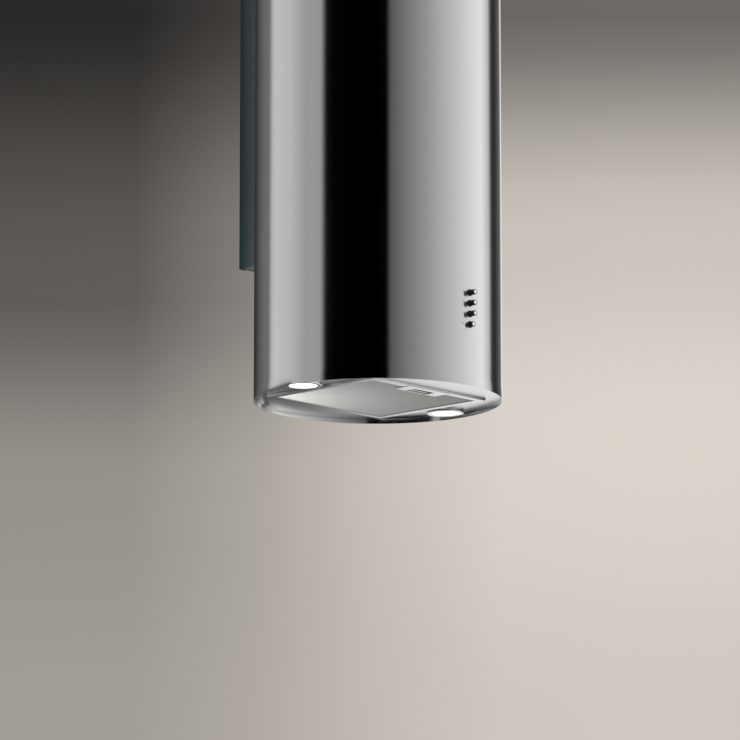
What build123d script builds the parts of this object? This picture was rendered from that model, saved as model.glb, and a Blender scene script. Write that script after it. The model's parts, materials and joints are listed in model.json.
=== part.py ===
"""Cylindrical wall range hood, in millimetres.

+Z is up, +Y points into the wall and -Y is the front, where the cook stands.
The origin is on the wall, at the centre of the four fixing holes. Heights in the
comments and in level() are measured up from the hood's lower rim.
"""
from build123d import *
import os
from math import cos, radians, sin, sqrt

os.makedirs("parts", exist_ok=True)

# ---------------------------------------------------------------- driving sizes
outer_radius = 215.0        # outside of the round body
shell = 1.0                 # body sheet
body_height = 900.0
standoff = 45.0             # from the back of the body to the wall
fixing_drop = 200.0         # centre of the wall holes below the top edge

recess = 9.0                # lower face of the bottom panel above the rim
panel_sheet = 1.2
panel_gap = 0.4             # between the panel's skirt and the body
skirt_height = 16.0

lens_radius = 25.7
lens_rebate = 1.5           # wall and play round the lens
bezel_lip = 5.8             # flange of the bezel beyond its hole
bezel_proud = 6.0           # face of the bezel below the panel
bezel_edge = 1.0            # from the bezel to the inside of the body
lamp_y = 6.0                # lamps behind the axis
lamp_can_height = 35.0

lamp_land = 3.5             # panel left between a bezel and the filter opening
corner_land = 18.6          # panel left between the opening's rear corners and its rim
filter_y = 4.0              # centre of the filter behind the axis
filter_height = 10.0
filter_proud = 4.0          # lower face of the cassette below the panel
filter_strip = 13.0         # visible border of the cassette
filter_sheet = 1.0
side_gap = 1.5              # cassette to the sides of its opening
front_gap = 1.5
rear_gap = 2.0
pivot_inset = 20.0          # pivot pins, ahead of the cassette's rear face
pivot_radius = 1.6
pivot_length = 5.5
pivot_clearance = 0.3
pivot_floor = 0.5           # seat left under a pin

latch_width = 51.0
latch_block = 4.0           # finger bar, along Y
latch_bar_lift = 0.6        # bar above the cassette's lower face
latch_finger_gap = 7.5      # in front of the bar when the bolt is shot
latch_travel = 4.5
latch_spring_room = 3.5     # behind the bar when it is drawn back
latch_engagement = 3.0      # bolt over the edge of the panel
bolt_width = 20.0
bolt_thickness = 0.9
latch_clearance = 0.3
grip_plate_width = 100.0
grip_plate_margin = 2.5     # plate behind the pocket
grip_plate_sheet = 0.6

button_radius = 4.8
button_proud = 12.8         # face of a released button beyond the body
button_travel = 4.0
button_pitch = 18.5
lowest_button = 106.0
button_count = 4
button_clearance = 0.25
collar_wall = 0.95
collar_proud = 1.4

box_sheet = 1.0
box_clear_y = 14.0          # box wall beyond the filter opening, front and back
box_gap = 0.3               # between the box and the lamp cans
box_top = 350.0

fan_height = 190.0
wheel_radius = 62.0
wheel_end_gap = 10.0        # wheel to the outer face of the scroll
blade_count = 36
blade_depth = 12.0
blade_sheet = 1.0
blade_lean = 32.0
tongue_gap = 8.5            # wheel to the tightest arc of the volute
volute_step = 7.0           # by which each quarter turn is smaller
volute_width = 120.0
volute_wall = 2.0
volute_clearance = 2.0      # to the front of the motor box
outlet_rise = 110.0         # outlet above the fan's axis
inlet_overlap = 8.0         # wheel beyond the edge of the inlet
shaft_radius = 4.0
running_clearance = 0.05
motor_radius = 38.0
motor_sheet = 1.5
motor_length = 54.0
hub_gap = 4.0               # motor to the wheel's hub
bearing_radius = 11.0
bearing_width = 7.5
air_gap = 0.5

spigot_radius = 74.5        # for a 150 mm duct
spigot_wall = 1.5
spigot_length = 58.0
flap_height = 16.0          # above the spigot's flange
flap_sheet = 1.2
flap_pin_radius = 1.5
flap_pin_offset = 4.0
flap_gap = 1.5

spine_width = 160.0
spine_sheet = 1.5
spine_lip = 14.0            # flange against the wall
spine_bottom = 259.0
spine_gap = 0.3             # spine to body, and spine to wall
bracket_sheet = 3.0
bracket_gap = 4.0           # wall bracket to the spine's flanges
fixing_edge_x = 17.0        # wall holes from the bracket's sides
fixing_edge_z = 18.0
fixing_spacing_z = 80.0
fixing_hole_radius = 4.25

hanger_angles = (78.0, 102.0)
lowest_hanger = 300.0
hanger_drop = 40.0          # highest hanger bolts below the top edge
hanger_bolt_radius = 3.0
bolt_clearance = 0.3
seam = 0.1                  # between sheets that are fastened to each other

# ---------------------------------------------------------------- derived places
axis_y = -(outer_radius + standoff)
fixing_height = body_height - fixing_drop
rim_z = -fixing_height
inner_radius = outer_radius - shell
wall = outer_radius + standoff              # wall plane, from the body's axis
panel_top = recess + panel_sheet
panel_radius = inner_radius - panel_gap
lamp_hole_radius = lens_radius + lens_rebate
bezel_radius = lamp_hole_radius + bezel_lip
lamp_x = inner_radius - bezel_edge - bezel_radius
opening_x = lamp_x - bezel_radius - lamp_land
opening_rear = sqrt((panel_radius - corner_land) ** 2 - opening_x**2)
half_width = opening_x - side_gap
filter_rear = opening_rear - rear_gap
filter_front = 2 * filter_y - filter_rear
opening_front = filter_front - front_gap
filter_bottom = recess - filter_proud
filter_top = filter_bottom + filter_height
pivot_y = filter_rear - pivot_inset
pivot_z = panel_top + pivot_floor + pivot_clearance + pivot_radius
can_radius = lamp_hole_radius - 1.0
can_flange = lamp_hole_radius + 1.0
box_x = lamp_x - can_flange - box_gap - box_sheet
box_front = opening_front - box_clear_y
box_rear = opening_rear + box_clear_y
volute_radius = wheel_radius + tongue_gap + 3 * volute_step
fan_y = box_front + volute_clearance + volute_radius - volute_step * 1.5
outlet_height = fan_height + outlet_rise
inlet_radius = wheel_radius - inlet_overlap
motor_left = -volute_width / 2
motor_right = motor_left + motor_length
collar_radius = button_radius + button_clearance + collar_wall
button_heights = [lowest_button + i * button_pitch for i in range(button_count)]
highest_hanger = body_height - hanger_drop
hanger_heights = (lowest_hanger, (lowest_hanger + highest_hanger) / 2, highest_hanger)


def level(height):
    """Horizontal plane through the body's axis, at a height above the rim."""
    return Plane((0, axis_y, rim_z + height))


def front_plane(y):
    """Upright plane facing the cook, y behind the body's axis: sketch in (x, height)."""
    return Plane(origin=(0, axis_y + y, rim_z), x_dir=(1, 0, 0), z_dir=(0, -1, 0))


def side_plane(x):
    """Upright plane facing +X: sketch in (y, height)."""
    return Plane(origin=(x, axis_y, rim_z), x_dir=(0, 1, 0), z_dir=(1, 0, 0))


def turned(x, y, height=0.0):
    """Plane for a section that is revolved about an upright axis at (x, y): sketch in (r, height)."""
    return Plane(origin=(x, axis_y + y, rim_z + height), x_dir=(1, 0, 0), z_dir=(0, -1, 0))


def upright(x, y):
    """The upright axis of revolution at (x, y)."""
    return Axis((x, axis_y + y, rim_z), (0, 0, 1))


def radial_plane(angle, height, radius):
    """Plane whose normal points out of the body at an angle about its axis."""
    a = radians(angle)
    return Plane(
        origin=(radius * cos(a), axis_y + radius * sin(a), rim_z + height),
        x_dir=(-sin(a), cos(a), 0),
        z_dir=(cos(a), sin(a), 0),
    )


def save(builder, name):
    """Names a finished piece and writes its STEP file."""
    builder.part.label = name
    export_step(builder.part, f"parts/{name}.step")


def rectangle(x0, x1, y0, y1, mode=Mode.ADD):
    """Rectangle between two corners of the active sketch."""
    with Locations(((x0 + x1) / 2, (y0 + y1) / 2)):
        Rectangle(x1 - x0, y1 - y0, mode=mode)


def ring(outside, inside):
    """Flat ring about the origin of the active sketch."""
    Circle(outside)
    Circle(inside, mode=Mode.SUBTRACT)


# ---------------------------------------------------------------- round body
collar_gap = 0.2
with BuildPart() as outer_cylinder:
    with BuildSketch(level(0)):
        ring(outer_radius, inner_radius)
    extrude(amount=body_height)
    with BuildSketch(front_plane(-outer_radius - shell)):
        with Locations(*[(0, z) for z in button_heights]):
            Circle(collar_radius + collar_gap)
    extrude(amount=-3 * shell, mode=Mode.SUBTRACT)
    for angle in hanger_angles:
        for height in hanger_heights:
            with BuildSketch(radial_plane(angle, height, inner_radius - shell)):
                Circle(hanger_bolt_radius + bolt_clearance)
            extrude(amount=3 * shell, mode=Mode.SUBTRACT)
save(outer_cylinder, "outer_cylinder")

hoop_width = 14.0
hoop_sheet = 2.0
hoop_leg = 20.0
hoop_low = body_height - hoop_leg
hoop_radius = inner_radius - 2 * seam
hoop_hole_radius = 2.5
with BuildPart() as top_hoop:
    with BuildSketch(level(hoop_low)):
        ring(hoop_radius, hoop_radius - hoop_sheet)
    extrude(amount=hoop_leg - shell)
    with BuildSketch(level(hoop_low)):
        ring(hoop_radius - hoop_sheet, inner_radius - hoop_width)
    extrude(amount=hoop_sheet)
    with BuildSketch(level(hoop_low)):
        with PolarLocations(inner_radius - hoop_width / 2 - hoop_sheet / 2, 8):
            Circle(hoop_hole_radius)
    extrude(amount=hoop_sheet, mode=Mode.SUBTRACT)
save(top_hoop, "top_hoop")

# ---------------------------------------------------------------- bottom panel
lamp_centres = [(-lamp_x, lamp_y), (lamp_x, lamp_y)]
with BuildPart() as bottom_panel:
    with BuildSketch(level(recess)):
        Circle(panel_radius)
        rectangle(-opening_x, opening_x, opening_front, opening_rear, mode=Mode.SUBTRACT)
        with Locations(*lamp_centres):
            Circle(lamp_hole_radius, mode=Mode.SUBTRACT)
    extrude(amount=panel_sheet)
    with BuildSketch(level(panel_top)):
        ring(panel_radius, panel_radius - panel_sheet)
    extrude(amount=skirt_height - panel_sheet)
    lowest = bottom_panel.edges().filter_by(GeomType.CIRCLE).group_by(Axis.Z)[0]
    outer_edge = lowest.sort_by(SortBy.RADIUS)[-1]
    fillet(outer_edge, radius=panel_sheet * 0.7)
save(bottom_panel, "bottom_panel")

# U-shaped seats on the panel that carry the cassette's pivot pins
seat_width = 4.4
seat_length = 14.0
seat_rise = 3.4             # above the pin's centre
slot_half = pivot_radius + pivot_clearance
with BuildPart() as filter_seats:
    for side in (-1, 1):
        start = side * (opening_x + seam)
        with BuildSketch(side_plane(start)):
            rectangle(pivot_y - seat_length / 2, pivot_y + seat_length / 2, panel_top, pivot_z + seat_rise)
            slot_top = pivot_z + 2 * seat_rise
            rectangle(pivot_y - slot_half, pivot_y + slot_half, pivot_z, slot_top, mode=Mode.SUBTRACT)
            with Locations((pivot_y, pivot_z)):
                Circle(slot_half, mode=Mode.SUBTRACT)
        extrude(amount=side * seat_width)
save(filter_seats, "filter_seats")

# ---------------------------------------------------------------- grease filter cassette
pocket_front = filter_front + filter_strip
bar_front = pocket_front + latch_finger_gap + latch_travel
bar_rear = bar_front + latch_block
pocket_rear = bar_rear + latch_spring_room
tray_sheet = 0.8
tray_x = latch_width / 2 + tray_sheet
bolt_z = panel_top + latch_clearance
bolt_roof = bolt_z + bolt_thickness + latch_clearance
bar_low = filter_bottom + latch_bar_lift
bar_top = bolt_z + bolt_thickness
bolt_half = bolt_width / 2 + latch_clearance
window_land = 4.0           # by which the strip's top flange is narrower

with BuildPart() as filter_frame:
    with BuildSketch(level(filter_bottom)):
        rectangle(-half_width, half_width, filter_front, filter_rear)
    extrude(amount=filter_height)
    with BuildSketch(level(filter_bottom + filter_sheet)):
        rectangle(
            -half_width + filter_sheet, half_width - filter_sheet,
            filter_front + filter_sheet, filter_rear - filter_sheet,
        )
    extrude(amount=filter_height - 2 * filter_sheet, mode=Mode.SUBTRACT)
    with BuildSketch(level(filter_bottom)):
        rectangle(
            -half_width + filter_strip, half_width - filter_strip,
            filter_front + filter_strip, filter_rear - filter_strip,
        )
        rectangle(-tray_x, tray_x, pocket_front - tray_sheet, pocket_rear + tray_sheet)
    extrude(amount=filter_sheet, mode=Mode.SUBTRACT)
    with BuildSketch(level(filter_top - filter_sheet)):
        rectangle(
            -half_width + filter_strip - window_land, half_width - filter_strip + window_land,
            filter_front + filter_strip - window_land, filter_rear - filter_strip + window_land,
        )
    extrude(amount=filter_sheet, mode=Mode.SUBTRACT)
    with BuildSketch(front_plane(filter_front)):
        rectangle(-bolt_half, bolt_half, bolt_z - latch_clearance, bolt_roof)
    extrude(amount=-filter_sheet, mode=Mode.SUBTRACT)
save(filter_frame, "filter_frame")

# plate with the finger pocket, let into the front of the cassette
plate_front = filter_front + filter_sheet / 2
plate_rear = pocket_rear + grip_plate_margin
with BuildPart() as grip_plate:
    with BuildSketch(level(filter_bottom - grip_plate_sheet)):
        rectangle(-grip_plate_width / 2, grip_plate_width / 2, plate_front, plate_rear)
    extrude(amount=grip_plate_sheet)
    with BuildSketch(level(filter_bottom)):
        rectangle(-tray_x, tray_x, pocket_front - tray_sheet, pocket_rear + tray_sheet)
    extrude(amount=bolt_roof + tray_sheet - filter_bottom)
    with BuildSketch(level(filter_bottom - grip_plate_sheet)):
        rectangle(-latch_width / 2, latch_width / 2, pocket_front, pocket_rear)
    extrude(amount=bolt_roof - filter_bottom + grip_plate_sheet, mode=Mode.SUBTRACT)
    with BuildSketch(front_plane(pocket_front - tray_sheet)):
        rectangle(-bolt_half, bolt_half, bolt_z - latch_clearance, bolt_roof)
    extrude(amount=-tray_sheet, mode=Mode.SUBTRACT)
save(grip_plate, "grip_plate")

# open face sheet, and the layers of expanded aluminium above it
face_sheet = 0.6
layer_sheet = 0.5
layer_count = 4
layer_gap = 0.3
layer_inset = filter_sheet + 2 * seam
face_low = filter_bottom + filter_sheet + seam / 2
layer_low = face_low + face_sheet + layer_gap
layer_pitch = (filter_top - filter_sheet - seam - layer_sheet - layer_low) / (layer_count - 1)


def cassette_layer():
    """Sheet that fills the cassette and goes round the latch pocket."""
    rectangle(
        -half_width + layer_inset, half_width - layer_inset,
        filter_front + layer_inset, filter_rear - layer_inset,
    )
    rectangle(
        -tray_x - layer_gap, tray_x + layer_gap,
        filter_front, pocket_rear + tray_sheet + layer_gap, mode=Mode.SUBTRACT,
    )


with BuildPart() as filter_face:
    with BuildSketch(level(face_low)):
        cassette_layer()
    extrude(amount=face_sheet)
save(filter_face, "filter_face")

with BuildPart() as filter_core:
    for layer in range(layer_count):
        with BuildSketch(level(layer_low + layer * layer_pitch)):
            cassette_layer()
        extrude(amount=layer_sheet)
save(filter_core, "filter_core")

with BuildPart() as pivot_pins:
    for side in (-1, 1):
        with BuildSketch(side_plane(side * half_width)):
            with Locations((pivot_y, pivot_z)):
                Circle(pivot_radius)
        extrude(amount=side * pivot_length)
save(pivot_pins, "pivot_pins")

# sliding latch, drawn back: finger bar with a lip, and the flat bolt that rides over the panel
bar_side_gap = 0.4
finger_groove = 1.8         # radius of the groove along the back of the bar
with BuildPart() as filter_latch:
    with BuildSketch(side_plane(-latch_width / 2 + bar_side_gap)):
        rectangle(bar_front, bar_rear, bar_low, bar_top)
        with Locations((bar_rear, (bar_low + bar_top) / 2)):
            Circle(finger_groove, mode=Mode.SUBTRACT)
    extrude(amount=latch_width - 2 * bar_side_gap)
    with BuildSketch(level(bolt_z)):
        bolt_tip = opening_front - latch_engagement + latch_travel
        rectangle(-bolt_width / 2, bolt_width / 2, bolt_tip, bar_front + bolt_thickness)
    extrude(amount=bolt_thickness)
save(filter_latch, "filter_latch")


def coil_spring(start, direction, length, radius, wire, turns):
    """Open coil spring from a start point along a direction, as one solid."""
    with BuildPart() as spring:
        with BuildLine():
            line = Helix(length / turns, length, radius, center=start, direction=direction)
        with BuildSketch(Plane(origin=line @ 0, z_dir=line % 0)):
            Circle(wire)
        sweep(path=line, is_frenet=True)
    return spring.part


spring_x = latch_width / 2 - 7.0
spring_radius = 1.7
spring_turns = 4
latch_wire = 0.25
spring_seat = latch_wire + 2 * seam
with BuildPart() as latch_springs:
    for side in (-1, 1):
        start = (side * spring_x, axis_y + bar_rear + spring_seat, rim_z + (bar_low + bar_top) / 2)
        spring_length = latch_spring_room - 2 * spring_seat
        add(coil_spring(start, (0, 1, 0), spring_length, spring_radius, latch_wire, spring_turns))
save(latch_springs, "latch_springs")

# ---------------------------------------------------------------- lamps
bezel_face = recess - bezel_proud
bezel_chamfer = 1.5
lens_catch = 1.1            # lip of the bezel under the lens, and its thickness
lens_seat = bezel_face + lens_catch
lens_sheet = 2.2
lens_chamfer = 0.4
lens_play = 0.2
neck_radius = lamp_hole_radius - 0.2
can_wall = 0.8
can_base = panel_top + seam
can_top = can_base + lamp_can_height
bulb_radius = 4.5
holder_radius = 9.0
for label, (x, y) in zip(("left", "right"), lamp_centres):
    with BuildPart() as bezel:
        with BuildSketch(turned(x, y)):
            with BuildLine():
                Polyline(
                    (lens_radius - lens_catch, bezel_face),
                    (bezel_radius - bezel_chamfer, bezel_face),
                    (bezel_radius, bezel_face + bezel_chamfer),
                    (bezel_radius, recess - seam / 2),
                    (neck_radius, recess - seam / 2),
                    (neck_radius, panel_top - seam),
                    (lens_radius + lens_play, panel_top - seam),
                    (lens_radius + lens_play, lens_seat),
                    (lens_radius - lens_catch, lens_seat),
                    close=True,
                )
            make_face()
        revolve(axis=upright(x, y))
    save(bezel, f"lamp_bezel_{label}")

    with BuildPart() as lens:
        with BuildSketch(level(lens_seat + seam / 2)):
            with Locations((x, y)):
                Circle(lens_radius)
        extrude(amount=lens_sheet)
        chamfer(lens.edges().filter_by(GeomType.CIRCLE), length=lens_chamfer)
    save(lens, f"lamp_lens_{label}")

with BuildPart() as lamp_cans:
    for x, y in lamp_centres:
        with BuildSketch(turned(x, y)):
            with BuildLine():
                Polyline(
                    (can_radius - can_wall, can_base),
                    (can_flange, can_base),
                    (can_flange, can_base + can_wall),
                    (can_radius, can_base + can_wall),
                    (can_radius, can_top),
                    (holder_radius + lens_play, can_top),
                    (holder_radius + lens_play, can_top - can_wall),
                    (can_radius - can_wall, can_top - can_wall),
                    close=True,
                )
            make_face()
        revolve(axis=upright(x, y))
save(lamp_cans, "lamp_cans")

reflector_mouth = can_radius - can_wall - 0.6
reflector_neck = bulb_radius + 1.5
reflector_base = can_base + 1.5
reflector_depth = 22.0
reflector_sheet = 0.8
bowl_radius = reflector_mouth * 0.72        # of the point half way up the bowl
bowl_height = reflector_base + reflector_depth * 0.62
with BuildPart() as lamp_reflectors:
    for x, y in lamp_centres:
        with BuildSketch(turned(x, y)):
            with BuildLine():
                inner = ThreePointArc(
                    (reflector_mouth - reflector_sheet, reflector_base),
                    (bowl_radius, bowl_height),
                    (reflector_neck, reflector_base + reflector_depth),
                )
                outer = ThreePointArc(
                    (reflector_mouth, reflector_base),
                    (bowl_radius + reflector_sheet * 0.75, bowl_height + reflector_sheet * 0.6),
                    (reflector_neck, reflector_base + reflector_depth + reflector_sheet),
                )
                Line(inner @ 0, outer @ 0)
                Line(inner @ 1, outer @ 1)
            make_face()
        revolve(axis=upright(x, y))
save(lamp_reflectors, "lamp_reflectors")

bulb_low = reflector_base + 6.0
bulb_length = 15.0
bulb_tip = 3.0
bulb_pin_radius = 0.5
bulb_pin_x = 2.0
holder_low = can_top - 8.0
holder_length = 18.0
bulb_pins = [(x + dx, y) for x, y in lamp_centres for dx in (-bulb_pin_x, bulb_pin_x)]
with BuildPart() as lamp_bulbs:
    with BuildSketch(level(bulb_low)):
        with Locations(*lamp_centres):
            Circle(bulb_radius)
    extrude(amount=bulb_length)
    fillet(lamp_bulbs.edges().group_by(Axis.Z)[0], radius=bulb_tip)
    with BuildSketch(level(bulb_low + bulb_length)):
        with Locations(*bulb_pins):
            Circle(bulb_pin_radius)
    extrude(amount=holder_low - bulb_low - bulb_length)
save(lamp_bulbs, "lamp_bulbs")

with BuildPart() as lamp_holders:
    with BuildSketch(level(holder_low)):
        with Locations(*lamp_centres):
            Circle(holder_radius)
    extrude(amount=holder_length)
    chamfer(lamp_holders.edges().group_by(Axis.Z)[-1], length=1.5)
save(lamp_holders, "lamp_holders")

# ---------------------------------------------------------------- push buttons
guide_front = -(outer_radius + collar_proud)
strip_half = collar_radius + 4.0
strip_front = -(sqrt(inner_radius**2 - strip_half**2) - bolt_clearance)
strip_rear = strip_front + 4.0
strip_end = collar_radius + 5.0             # strip beyond the outermost buttons
strip_low = lowest_button - strip_end
strip_high = button_heights[-1] + strip_end
button_hole = button_radius + button_clearance
button_places = [(0, z) for z in button_heights]
with BuildPart() as button_guide:
    with BuildSketch(front_plane(strip_rear)):
        rectangle(-strip_half, strip_half, strip_low, strip_high)
    extrude(amount=strip_rear - strip_front)
    with BuildSketch(front_plane(strip_rear)):
        with Locations(*button_places):
            Circle(collar_radius)
    extrude(amount=strip_rear - guide_front)
    rim_edges = button_guide.edges().filter_by(GeomType.CIRCLE).group_by(Axis.Y)[0]
    chamfer(rim_edges, length=collar_wall * 0.6)
    with BuildSketch(front_plane(strip_rear)):
        with Locations(*button_places):
            Circle(button_hole)
    extrude(amount=strip_rear - guide_front, mode=Mode.SUBTRACT)
save(button_guide, "button_guide")

button_names = ("light_button", "speed_button_1", "speed_button_2", "speed_button_3")
button_round = 1.2
flange_radius = collar_radius + 0.4
flange_thickness = 2.0
flange_gap = 0.4            # from a released button's flange to the strip
stem_radius = 2.4
stem_length = 18.0
for name, z in zip(button_names, button_heights):
    # the light switch is latched in, the speed switches are out
    pressed = button_travel if name == "light_button" else 0.0
    face = -(outer_radius + button_proud) + pressed
    flange_front = strip_rear + flange_gap + pressed
    flange_rear = flange_front + flange_thickness
    with BuildPart() as button:
        with BuildSketch(front_plane(flange_front)):
            with Locations((0, z)):
                Circle(button_radius)
        extrude(amount=flange_front - face)
        tip = button.edges().filter_by(GeomType.CIRCLE).group_by(Axis.Y)[0]
        fillet(tip, radius=button_round)
        with BuildSketch(front_plane(flange_rear)):
            with Locations((0, z)):
                Circle(flange_radius)
        extrude(amount=flange_thickness)
        with BuildSketch(front_plane(flange_rear + stem_length)):
            with Locations((0, z)):
                Circle(stem_radius)
        extrude(amount=stem_length)
    save(button, name)

stem_entry = 2.0            # by which a released stem stands in its socket
socket_radius = stem_radius + 0.6
socket_depth = stem_entry + button_travel + 4.0
bank_half = strip_half + 3.0
bank_depth = 24.0
bank_round = 1.5
bank_front = strip_rear + flange_gap + flange_thickness + stem_length - stem_entry
terminal_x = bank_half / 2 - 0.5
terminal_length = 6.0
terminal_section = (0.8, 5.0)
with BuildPart() as switch_bank:
    with BuildSketch(front_plane(bank_front + bank_depth)):
        rectangle(-bank_half, bank_half, strip_low, strip_high)
    extrude(amount=bank_depth)
    fillet(switch_bank.edges().filter_by(Axis.Y), radius=bank_round)
    with BuildSketch(front_plane(bank_front)):
        with Locations(*button_places):
            Circle(socket_radius)
    extrude(amount=-socket_depth, mode=Mode.SUBTRACT)
    terminals = [(x, z) for z in button_heights for x in (-terminal_x, terminal_x)]
    with BuildSketch(front_plane(bank_front + bank_depth)):
        with Locations(*terminals):
            Rectangle(*terminal_section)
    extrude(amount=-terminal_length)
save(switch_bank, "switch_bank")

cheek_sheet = 1.5
cheek_wing = bank_half + 13.0
cheek_in = bank_half + 2 * seam
cheek_out = cheek_in + cheek_sheet
cheek_front = bank_front + 4.0
wing_rear = box_front - box_sheet - seam
with BuildPart() as switch_bracket:
    with BuildSketch(level(strip_low)):
        for side in (-1, 1):
            rectangle(*sorted((side * cheek_in, side * cheek_out)), cheek_front, wing_rear)
            rectangle(*sorted((side * cheek_in, side * cheek_wing)), wing_rear - cheek_sheet, wing_rear)
    extrude(amount=strip_high + 2 * seam - strip_low)
    with BuildSketch(level(strip_high + 2 * seam)):
        rectangle(-cheek_out, cheek_out, cheek_front, wing_rear)
    extrude(amount=cheek_sheet)
save(switch_bracket, "switch_bracket")

# ---------------------------------------------------------------- motor box
with BuildPart() as motor_box:
    with BuildSketch(level(panel_top)):
        rectangle(-box_x - box_sheet, box_x + box_sheet, box_front - box_sheet, box_rear + box_sheet)
        rectangle(-box_x, box_x, box_front, box_rear, mode=Mode.SUBTRACT)
    extrude(amount=box_top - panel_top)
save(motor_box, "motor_box")

lid_sheet = 1.5
lid_flange = 12.0
lid_play = 0.2
lid_x = box_x - lid_play
lid_front = box_front + lid_play
lid_rear = box_rear - lid_play
lid_top = box_top + lid_sheet
duct_bore = spigot_radius - spigot_wall
with BuildPart() as box_lid:
    with BuildSketch(level(box_top)):
        rectangle(-box_x - box_sheet, box_x + box_sheet, box_front - box_sheet, box_rear + box_sheet)
        Circle(duct_bore, mode=Mode.SUBTRACT)
    extrude(amount=lid_sheet)
    with BuildSketch(level(box_top)):
        rectangle(-lid_x, lid_x, lid_front, lid_rear)
        rectangle(
            -lid_x + lid_sheet, lid_x - lid_sheet,
            lid_front + lid_sheet, lid_rear - lid_sheet, mode=Mode.SUBTRACT,
        )
    extrude(amount=-lid_flange)
save(box_lid, "box_lid")

# angles that tie the box to the bottom panel
angle_leg = 16.0
angle_length = 60.0
angle_sheet = 1.5
angle_low = panel_top + seam
with BuildPart() as panel_angles:
    for face, out in ((box_front - box_sheet - seam, -1), (box_rear + box_sheet + seam, 1)):
        with BuildSketch(side_plane(-angle_length / 2)):
            rectangle(*sorted((face, face + out * angle_leg)), angle_low, angle_low + angle_sheet)
            rectangle(*sorted((face, face + out * angle_sheet)), angle_low, angle_low + angle_leg)
        extrude(amount=angle_length)
save(panel_angles, "panel_angles")

# ---------------------------------------------------------------- fan scroll
tongue_angle = 12.0
half_step = volute_step / 2
smallest = volute_radius - 3 * volute_step
tongue_y = fan_y - half_step + smallest * sin(radians(tongue_angle))
outlet_rear = fan_y + half_step + volute_radius


def fan_plane(x):
    """Upright plane across the fan's axis, facing +X: sketch in (y, z) about the axis."""
    return Plane(origin=(x, axis_y + fan_y, rim_z + fan_height), x_dir=(0, 1, 0), z_dir=(1, 0, 0))


def fan_section():
    """Plane through the fan's axis: sketch in (along the axis, radius)."""
    return Plane(origin=(0, axis_y + fan_y, rim_z + fan_height), x_dir=(1, 0, 0), z_dir=(0, -1, 0))


fan_axis = Axis((0, axis_y + fan_y, rim_z + fan_height), (1, 0, 0))


def scroll(grow):
    """Spiral of quarter arcs, each smaller than the last, with the straight outlet above it."""
    radii = [volute_radius - quarter * volute_step + grow for quarter in range(4)]
    tongue = tongue_y - grow - (fan_y - half_step)
    sweep_angle = 90 - Vector(tongue, sqrt(radii[3] ** 2 - tongue**2)).get_angle(Vector(1, 0))
    rear = outlet_rear + grow
    with BuildLine() as outline:
        Line((rear, outlet_height), (rear, fan_height + half_step))
        CenterArc((fan_y + half_step, fan_height + half_step), radii[0], 0, -90)
        CenterArc((fan_y + half_step, fan_height - half_step), radii[1], -90, -90)
        CenterArc((fan_y - half_step, fan_height - half_step), radii[2], 180, -90)
        last = CenterArc((fan_y - half_step, fan_height + half_step), radii[3], 90, -sweep_angle)
        Polyline(last @ 1, (tongue_y - grow, outlet_height), (rear, outlet_height))
    return outline.line


half_volute = volute_width / 2
volute_split = seam / 2     # each half stops short of the middle plane
air_outline = scroll(0)
casing_outline = scroll(volute_wall)
for label, side in (("left", -1), ("right", 1)):
    with BuildPart() as volute:
        with BuildSketch(side_plane(side * volute_split)):
            with BuildLine():
                add(casing_outline)
            make_face()
        extrude(amount=side * (half_volute - volute_split))
        with BuildSketch(side_plane(0)):
            with BuildLine():
                add(air_outline)
            make_face()
        extrude(amount=side * (half_volute - volute_wall), mode=Mode.SUBTRACT)
        with BuildSketch(fan_plane(side * (half_volute - 2 * volute_wall))):
            Circle(inlet_radius)
        extrude(amount=side * 3 * volute_wall, mode=Mode.SUBTRACT)
    save(volute, f"fan_scroll_{label}")

# rounded mouths that lead the air into the wheel
mouth_lip = 6.0             # reach into the scroll
mouth_flange = 5.0          # beyond the edge of the inlet
mouth_sheet = 1.5
mouth_play = 0.3
mouth_taper = 2.2
with BuildPart() as inlet_mouths:
    for side in (-1, 1):
        flange_x = side * (half_volute + seam)
        lip_x = side * (half_volute - mouth_lip)
        with BuildSketch(fan_section()):
            with BuildLine():
                Polyline(
                    (flange_x, inlet_radius + mouth_flange),
                    (flange_x, inlet_radius - mouth_play),
                    (lip_x, inlet_radius - mouth_play - mouth_taper),
                    (lip_x, inlet_radius - mouth_play - mouth_taper - mouth_sheet),
                    (side * (half_volute + mouth_sheet / 3), inlet_radius - mouth_taper),
                    (side * (half_volute + mouth_sheet), inlet_radius + mouth_flange),
                    close=True,
                )
            make_face()
        revolve(axis=fan_axis)
save(inlet_mouths, "inlet_mouths")

duct_low = outlet_height + seam
duct_round = 4.0
outlet_middle = (tongue_y + outlet_rear) / 2
outlet_deep = outlet_rear - tongue_y
outlet_wide = volute_width - 2 * volute_wall
with BuildPart() as outlet_duct:
    for grow, mode in ((volute_wall, Mode.ADD), (0, Mode.SUBTRACT)):
        with BuildSketch(level(duct_low)):
            with Locations((0, outlet_middle)):
                RectangleRounded(outlet_wide + 2 * grow, outlet_deep + 2 * grow, duct_round + grow)
        with BuildSketch(level(box_top - seam)):
            Circle(duct_bore + grow)
        loft(mode=mode)
save(outlet_duct, "outlet_duct")

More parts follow.
